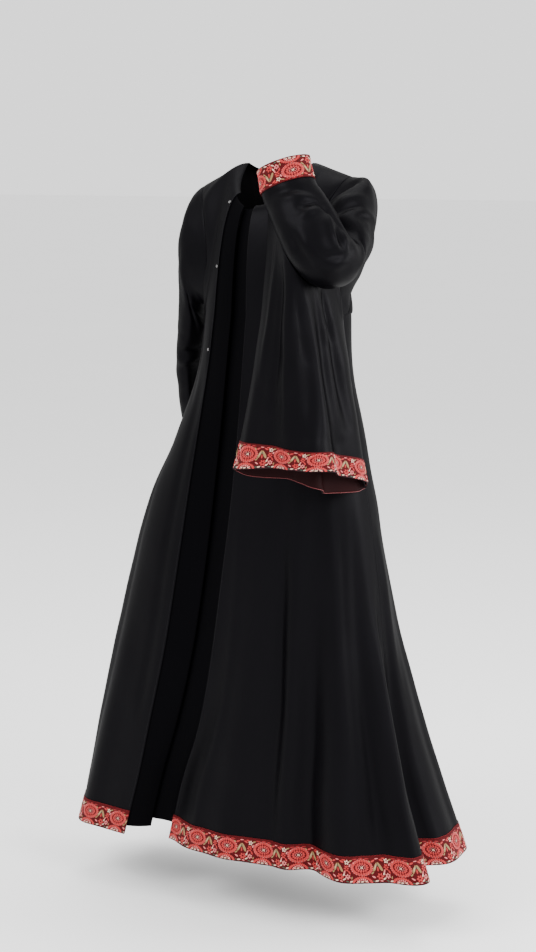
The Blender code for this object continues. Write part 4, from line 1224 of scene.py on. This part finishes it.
def make_strip(name, places, depths, rise, looks):
    """A strip behind the front edges. Its depths are given per column at the neck and at the hem."""
    grid, normals = body_grid(places, False, HEM_HEIGHT + STRIP_HEM_RISE + rise, YOKE_SHARES[:-4])
    down = ease((CHEST_HEIGHT - grid[:, :, 2]) / (CHEST_HEIGHT - HEM_HEIGHT) * STRIP_OPENS)
    inward = depths[0][None, :] + (depths[1] - depths[0])[None, :] * down
    grid = grid - normals * inward[:, :, None]
    strip = sheet_mesh(f"{name}_cloth", grid, WALL, looks["strip_slots"])
    finish_sheet(strip, name, grid)


def make_underlap(looks):
    """The strip sewn behind each front edge. The right front's lies over the left front's."""
    lay = WALL + SEAM_GAP
    places = np.concatenate([[1.0 - STRIP_TUCK], np.linspace(1.0, STRIP_END, STRIP_COLUMNS)])
    share = np.clip((places - 1.0) / (STRIP_END - 1.0), 0.0, 1.0)
    depths = (lay + STRIP_NECK_DEPTH * share, lay + STRIP_FIRST_DEPTH * share)
    make_strip("right_underlap", places, depths, RIGHT_STRIP_RISE, looks)

    first = STRIP_END - STRIP_OVERLAP
    places = np.concatenate([np.linspace(first, 2.0, STRIP_COLUMNS), [2.0 + STRIP_TUCK]])
    share = np.clip((2.0 - places) / (2.0 - first), 0.0, 1.0)
    near = STRIP_NECK_DEPTH + STRIP_SECOND_EXTRA
    far = STRIP_FIRST_DEPTH + STRIP_SECOND_EXTRA
    make_strip("left_underlap", places, (lay + near * share, lay + far * share), LEFT_STRIP_RISE, looks)


def make_sleeves(looks):
    """Both sleeves, creased at the elbows, with their cuff tape."""
    for side, word in SIDES:
        grid, normals, rings = fine_sleeve(side)
        length = upward(grid)
        share = (length / length[-1])[:, None]
        turn = (np.arange(SLEEVE_SIDES) / SLEEVE_SIDES)[None]
        swell = crease_swell(share, turn, (length[-1], SLEEVE_ROUND), SLEEVE_CREASES[side])
        for unevenness in SLEEVE_RIPPLES:
            swell += ripple(grid, *unevenness)
        top, cuff = SLEEVE_ENDS_LEVEL
        swell *= ease(np.minimum(turn, 1 - turn) / SLEEVE_SEAM_LEVEL)
        swell *= ease(np.minimum(share / top, (1 - share) / cuff))
        grid = grid + normals * swell[:, :, None]
        normals = grid_normals(grid, closed=True)
        lean = armhole_mitre(side)
        if side > 0:
            lean = np.roll(lean[::-1], 1, axis=0)
        under = grid[0] - lean * ROLL_DEPTH
        whole = np.concatenate([[under], [grid[0] + (grid[1] - grid[0]) * ROLL_RING], grid[1:]])
        node = f"sleeve_{word}"
        sleeve = sheet_mesh(f"{node}_cloth", whole, WALL, looks["cloth_slots"], closed=True)
        finish_sheet(sleeve, node, grid, True)
        facing = normals[rings[2]:]
        base = grid[rings[2]:] + facing * TAPE_LIFT
        laid = [np.concatenate([table, table[:, :1]], axis=1)[::-1] for table in (base, facing)]
        lay_tape(f"cuff_{word}", f"cuff_tape_{word}", f"{node}_cloth", base, laid, SLEEVE_TAPE_WIDTH,
                 CUFF_START, looks, closed=True)


def drop_top(side):
    """The line under a sleeve's seam, from the cuff's end to the underarm, and the way across it."""
    grid, normals, rings = fine_sleeve(side)
    span = slice(rings[0], rings[1] + 1)
    line = (grid[:, 0] + normals[:, 0] * (WALL / 2 + 2 * LAY_GAP))[span][::-1]
    across = side * unit(np.cross(normals[span, 0][::-1], np.gradient(line, axis=0)))
    run = along(line)
    steps = np.linspace(0.0, run[-1], DROP_COLUMNS)
    both = np.hstack([line, across])
    both = np.column_stack([np.interp(steps, run, both[:, axis]) for axis in range(6)])
    return both[:, :3], both[:, 3:]


def drop_grid(side, layer):
    """One layer of a drop: it hangs from the sleeve's seam and ends at its own hem."""
    hem_table, folds, hang = DROPS[side]
    top, across = drop_top(side)
    shares = np.linspace(0.0, 1.0, DROP_COLUMNS)
    hem = np.column_stack([column(hem_table, HEM_COLUMNS, axis, shares, "share") for axis in "xyz"])
    full = hem[:, 2] - top[:, 2]
    tape_start = 1.0 + SLEEVE_TAPE_WIDTH / full.mean()
    tape_falls = np.linspace(tape_start, 1.0, SLEEVE_TAPE_ROWS)[1:]
    falls = np.concatenate([np.linspace(0.0, tape_start, DROP_FALLS), tape_falls])[:, None]
    sweep = falls ** (1.0 + hang * (1.0 - shares))[None]
    middle = top[None] + (hem - top)[None] * sweep[:, :, None]
    middle[:, :, 2] = top[:, 2] + full * falls
    swell = crease_swell(falls, shares[None], DROP_SCALE, DROP_CREASES[side])
    swell += ripple(middle, *DROP_RIPPLE) * ease(falls / DROP_LEVEL)
    for fold in rows(DROP_FOLD_COLUMNS, folds):
        centre = fold["top_share"] + (fold["hem_share"] - fold["top_share"]) * falls
        swell += fold["depth"] * falls * bell(shares[None] - centre, fold["half_share"])
    ends = np.sin(np.pi * shares)[None] ** DROP_END_ROUND
    apart = WALL / 2 + SEAM_GAP + DROP_SPREAD * ends * ease(falls)
    grid = middle - side * grid_normals(middle) * (swell + layer * apart)[:, :, None]
    if layer < 0:
        sag = DROP_BACK_SAG * bell(shares - DROP_SAG_SHARE, DROP_SAG_HALF)
        grid[:, :, 2] -= (DROP_BACK_LONGER * ends + sag[None]) * falls
    grid[:, :, 2] += np.interp(shares, *DROP_HEM_WAVE[side])[None] * falls**2
    grid[0] = top + across * layer * (WALL / 2 + SEAM_GAP)
    normals = grid_normals(grid)
    normals[0] = -side * across
    return grid[::-1], normals[::-1]


def make_drops(looks):
    """The layers that hang from each sleeve, with tape and flowers outside and a red edge inside."""
    for side, word in SIDES:
        for layer, face in ((1, "front"), (-1, "back")):
            name = f"drop_{word}_{face}"
            grid, normals = drop_grid(side, layer)
            normals = -side * layer * normals
            flip = side * layer < 0
            band = SLEEVE_TAPE_ROWS - 1
            cloth = sheet_mesh(f"{name}_cloth", grid, WALL, looks["cloth_slots"], band=band, flip=flip)
            finish_sheet(cloth, name, grid)
            facing = normals[:SLEEVE_TAPE_ROWS]
            base = grid[:SLEEVE_TAPE_ROWS] + facing * TAPE_LIFT
            order = slice(None, None, -1 if flip else 1)
            low_edge = grid[0] + (grid[1] - grid[0]) * SELVEDGE_RISE - normals[0] * (WALL / 2)
            selvedge = (f"{name}_selvedge", [(low_edge, -normals[0])], looks["selvedge"], *SELVEDGE_STITCH)
            laid = (base[:, order], facing[:, order])
            lay_tape(name, f"drop_tape_{word}_{face}", f"{name}_cloth", base, laid, SLEEVE_TAPE_WIDTH,
                     DROP_START, looks, selvedge, band=1, flip=flip)


def make_studs(looks):
    """Press stud caps with a rolled rim and a dimple, each on its solid."""
    turns = 2 * np.pi * np.arange(STUD_SIDES) / STUD_SIDES
    reach, high = np.array(STUD_PROFILE).T
    flat = np.outer(reach, np.cos(turns)), np.outer(reach, np.sin(turns))
    index = np.arange(reach.size * STUD_SIDES).reshape(reach.size, STUD_SIDES)
    faces = corners(np.hstack([index, index[:, :1]])).reshape(-1, 4).tolist()
    for name in STUDS:
        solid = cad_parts[name]
        points = np.array([solid.matrix_world @ vertex.co for vertex in solid.data.vertices])
        centre = (points.max(axis=0) + points.min(axis=0)) / 2
        facing = np.linalg.svd(points - points.mean(axis=0), full_matrices=False)[2][2]
        facing = facing * np.sign(-facing[1])
        across = unit(np.cross(facing, (0.0, 0.0, 1.0)))
        level = (flat[0][:, :, None] * across + flat[1][:, :, None] * np.cross(facing, across)) * STUD_RADIUS
        raised = (high - 0.5)[:, None, None] * facing * STUD_THICKNESS
        spots = (centre + level + raised).reshape(-1, 3).tolist()
        cap = new_piece(f"{name}_cap", spots, faces, np.zeros(len(faces), int), None, [looks["stud"]])
        trim(cap)
        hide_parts(name)


# The studio


def aimed(name, data, spot, target):
    """A camera or a lamp at a spot, turned to its target."""
    thing = bpy.data.objects.new(name, data)
    thing.location = spot
    thing.rotation_euler = (Vector(target) - Vector(spot)).to_track_quat("-Z", "Y").to_euler()
    bpy.context.scene.collection.objects.link(thing)
    return thing


def make_studio():
    """Camera at the photographed angle, a pale floor and broad soft light."""
    scene = bpy.context.scene
    data = bpy.data.cameras.new("Camera")
    right = Vector((0.866, 0.5, 0.0)) * CAMERA_RIGHT
    spot = Vector((0.5, -0.866, 0.0)) * CAMERA_AWAY + right + Vector((0.0, 0.0, CAMERA_HEIGHT))
    scene.camera = aimed("Camera", data, spot, right + Vector((0.0, 0.0, TARGET_HEIGHT)))
    data.sensor_fit = "VERTICAL"
    data.sensor_height = CAMERA_SENSOR
    data.lens = CAMERA_SENSOR * CAMERA_REACH

    material, tree, shader = new_material("Pale floor", Roughness=0.9, Specular_IOR_Level=0.1)
    dress(tree, shader, worn(tree, 0.8, 2.0), ((0.90, 0.90, 0.90), (0.93, 0.93, 0.93)), None, None)
    signs = ((-1, -1), (1, -1), (1, 1), (-1, 1))
    ground = [(x * FLOOR_REACH, y * FLOOR_REACH, FLOOR_HEIGHT) for x, y in signs]
    floor = new_piece("Floor", ground, [(0, 1, 2, 3)], [0], None, [material])
    floor.data.shade_flat()

    world = bpy.data.worlds.new("Studio")
    world.use_nodes = True
    background = world.node_tree.nodes["Background"]
    background.inputs["Color"].default_value = (1.0, 1.0, 1.0, 1.0)
    background.inputs["Strength"].default_value = SKY_STRENGTH
    scene.world = world
    for name, spot, size, power in LIGHTS:
        lamp = bpy.data.lights.new(name, "AREA")
        lamp.size = size
        lamp.energy = power
        aimed(name, lamp, spot, LIGHT_TARGET)


def make_looks():
    """Every material of the garment, from its colours, roughness, sheen and tint."""
    cool = (0.92, 0.90, 1.0)
    black = ((0.0009, 0.0008, 0.0011), (0.0018, 0.0016, 0.0022))
    cloth = satin("black_crepe_satin", black, 0.38, 0.050, cool)
    dull = ((0.0034, 0.0032, 0.0036), (0.0056, 0.0052, 0.0058))
    wrong = satin("cloth_wrong_side", dull, 0.60, 0.04, (0.95, 0.92, 1.0))
    reddish = ((0.0056, 0.0016, 0.0018), (0.0120, 0.0032, 0.0036))
    maroon = satin("taped_wrong_side", reddish, 0.60, 0.04, (1.0, 0.8, 0.8))
    # The strips' cloth is coloured darker than the fronts' cloth: painted shade of the recess between the two
    # front edges
    recess_shade_black = ((0.0006, 0.0006, 0.0008), (0.0012, 0.0011, 0.0015))
    strip = satin("black_crepe_recess_shade", recess_shade_black, 0.52, 0.018, cool)
    ground = woven_ground("red_tape_ground", (0.024, 0.0014, 0.0020), (0.090, 0.0034, 0.0050))
    edge = woven_ground("dark_tape_edge", (0.012, 0.005, 0.006), (0.030, 0.010, 0.012))
    return {
        "cloth_slots": [cloth, cloth, wrong, maroon],
        "strip_slots": [strip, wrong],
        "tape_slots": [ground, edge, ground, edge],
        "threads": [thread(f"{name}_thread", *colours) for name, colours in THREAD_COLOURS.items()],
        "selvedge": thread("selvedge_thread", (0.12, 0.020, 0.024), (0.24, 0.055, 0.055)),
        "red_stitch": thread("red_stitch", (0.30, 0.010, 0.012), (0.45, 0.020, 0.024)),
        "black_stitch": thread("black_stitch", (0.006, 0.006, 0.007), (0.012, 0.011, 0.014)),
        "stud": nickel("polished_nickel"),
    }


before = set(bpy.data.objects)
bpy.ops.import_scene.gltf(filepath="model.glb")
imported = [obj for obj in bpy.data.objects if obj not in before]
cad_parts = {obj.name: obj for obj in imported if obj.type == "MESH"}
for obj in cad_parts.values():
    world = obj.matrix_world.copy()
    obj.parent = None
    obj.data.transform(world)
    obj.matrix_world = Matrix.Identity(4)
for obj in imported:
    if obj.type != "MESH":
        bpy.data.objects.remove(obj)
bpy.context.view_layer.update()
make_studio()
looks = make_looks()
make_body(looks)
make_underlap(looks)
make_sleeves(looks)
make_drops(looks)
make_studs(looks)
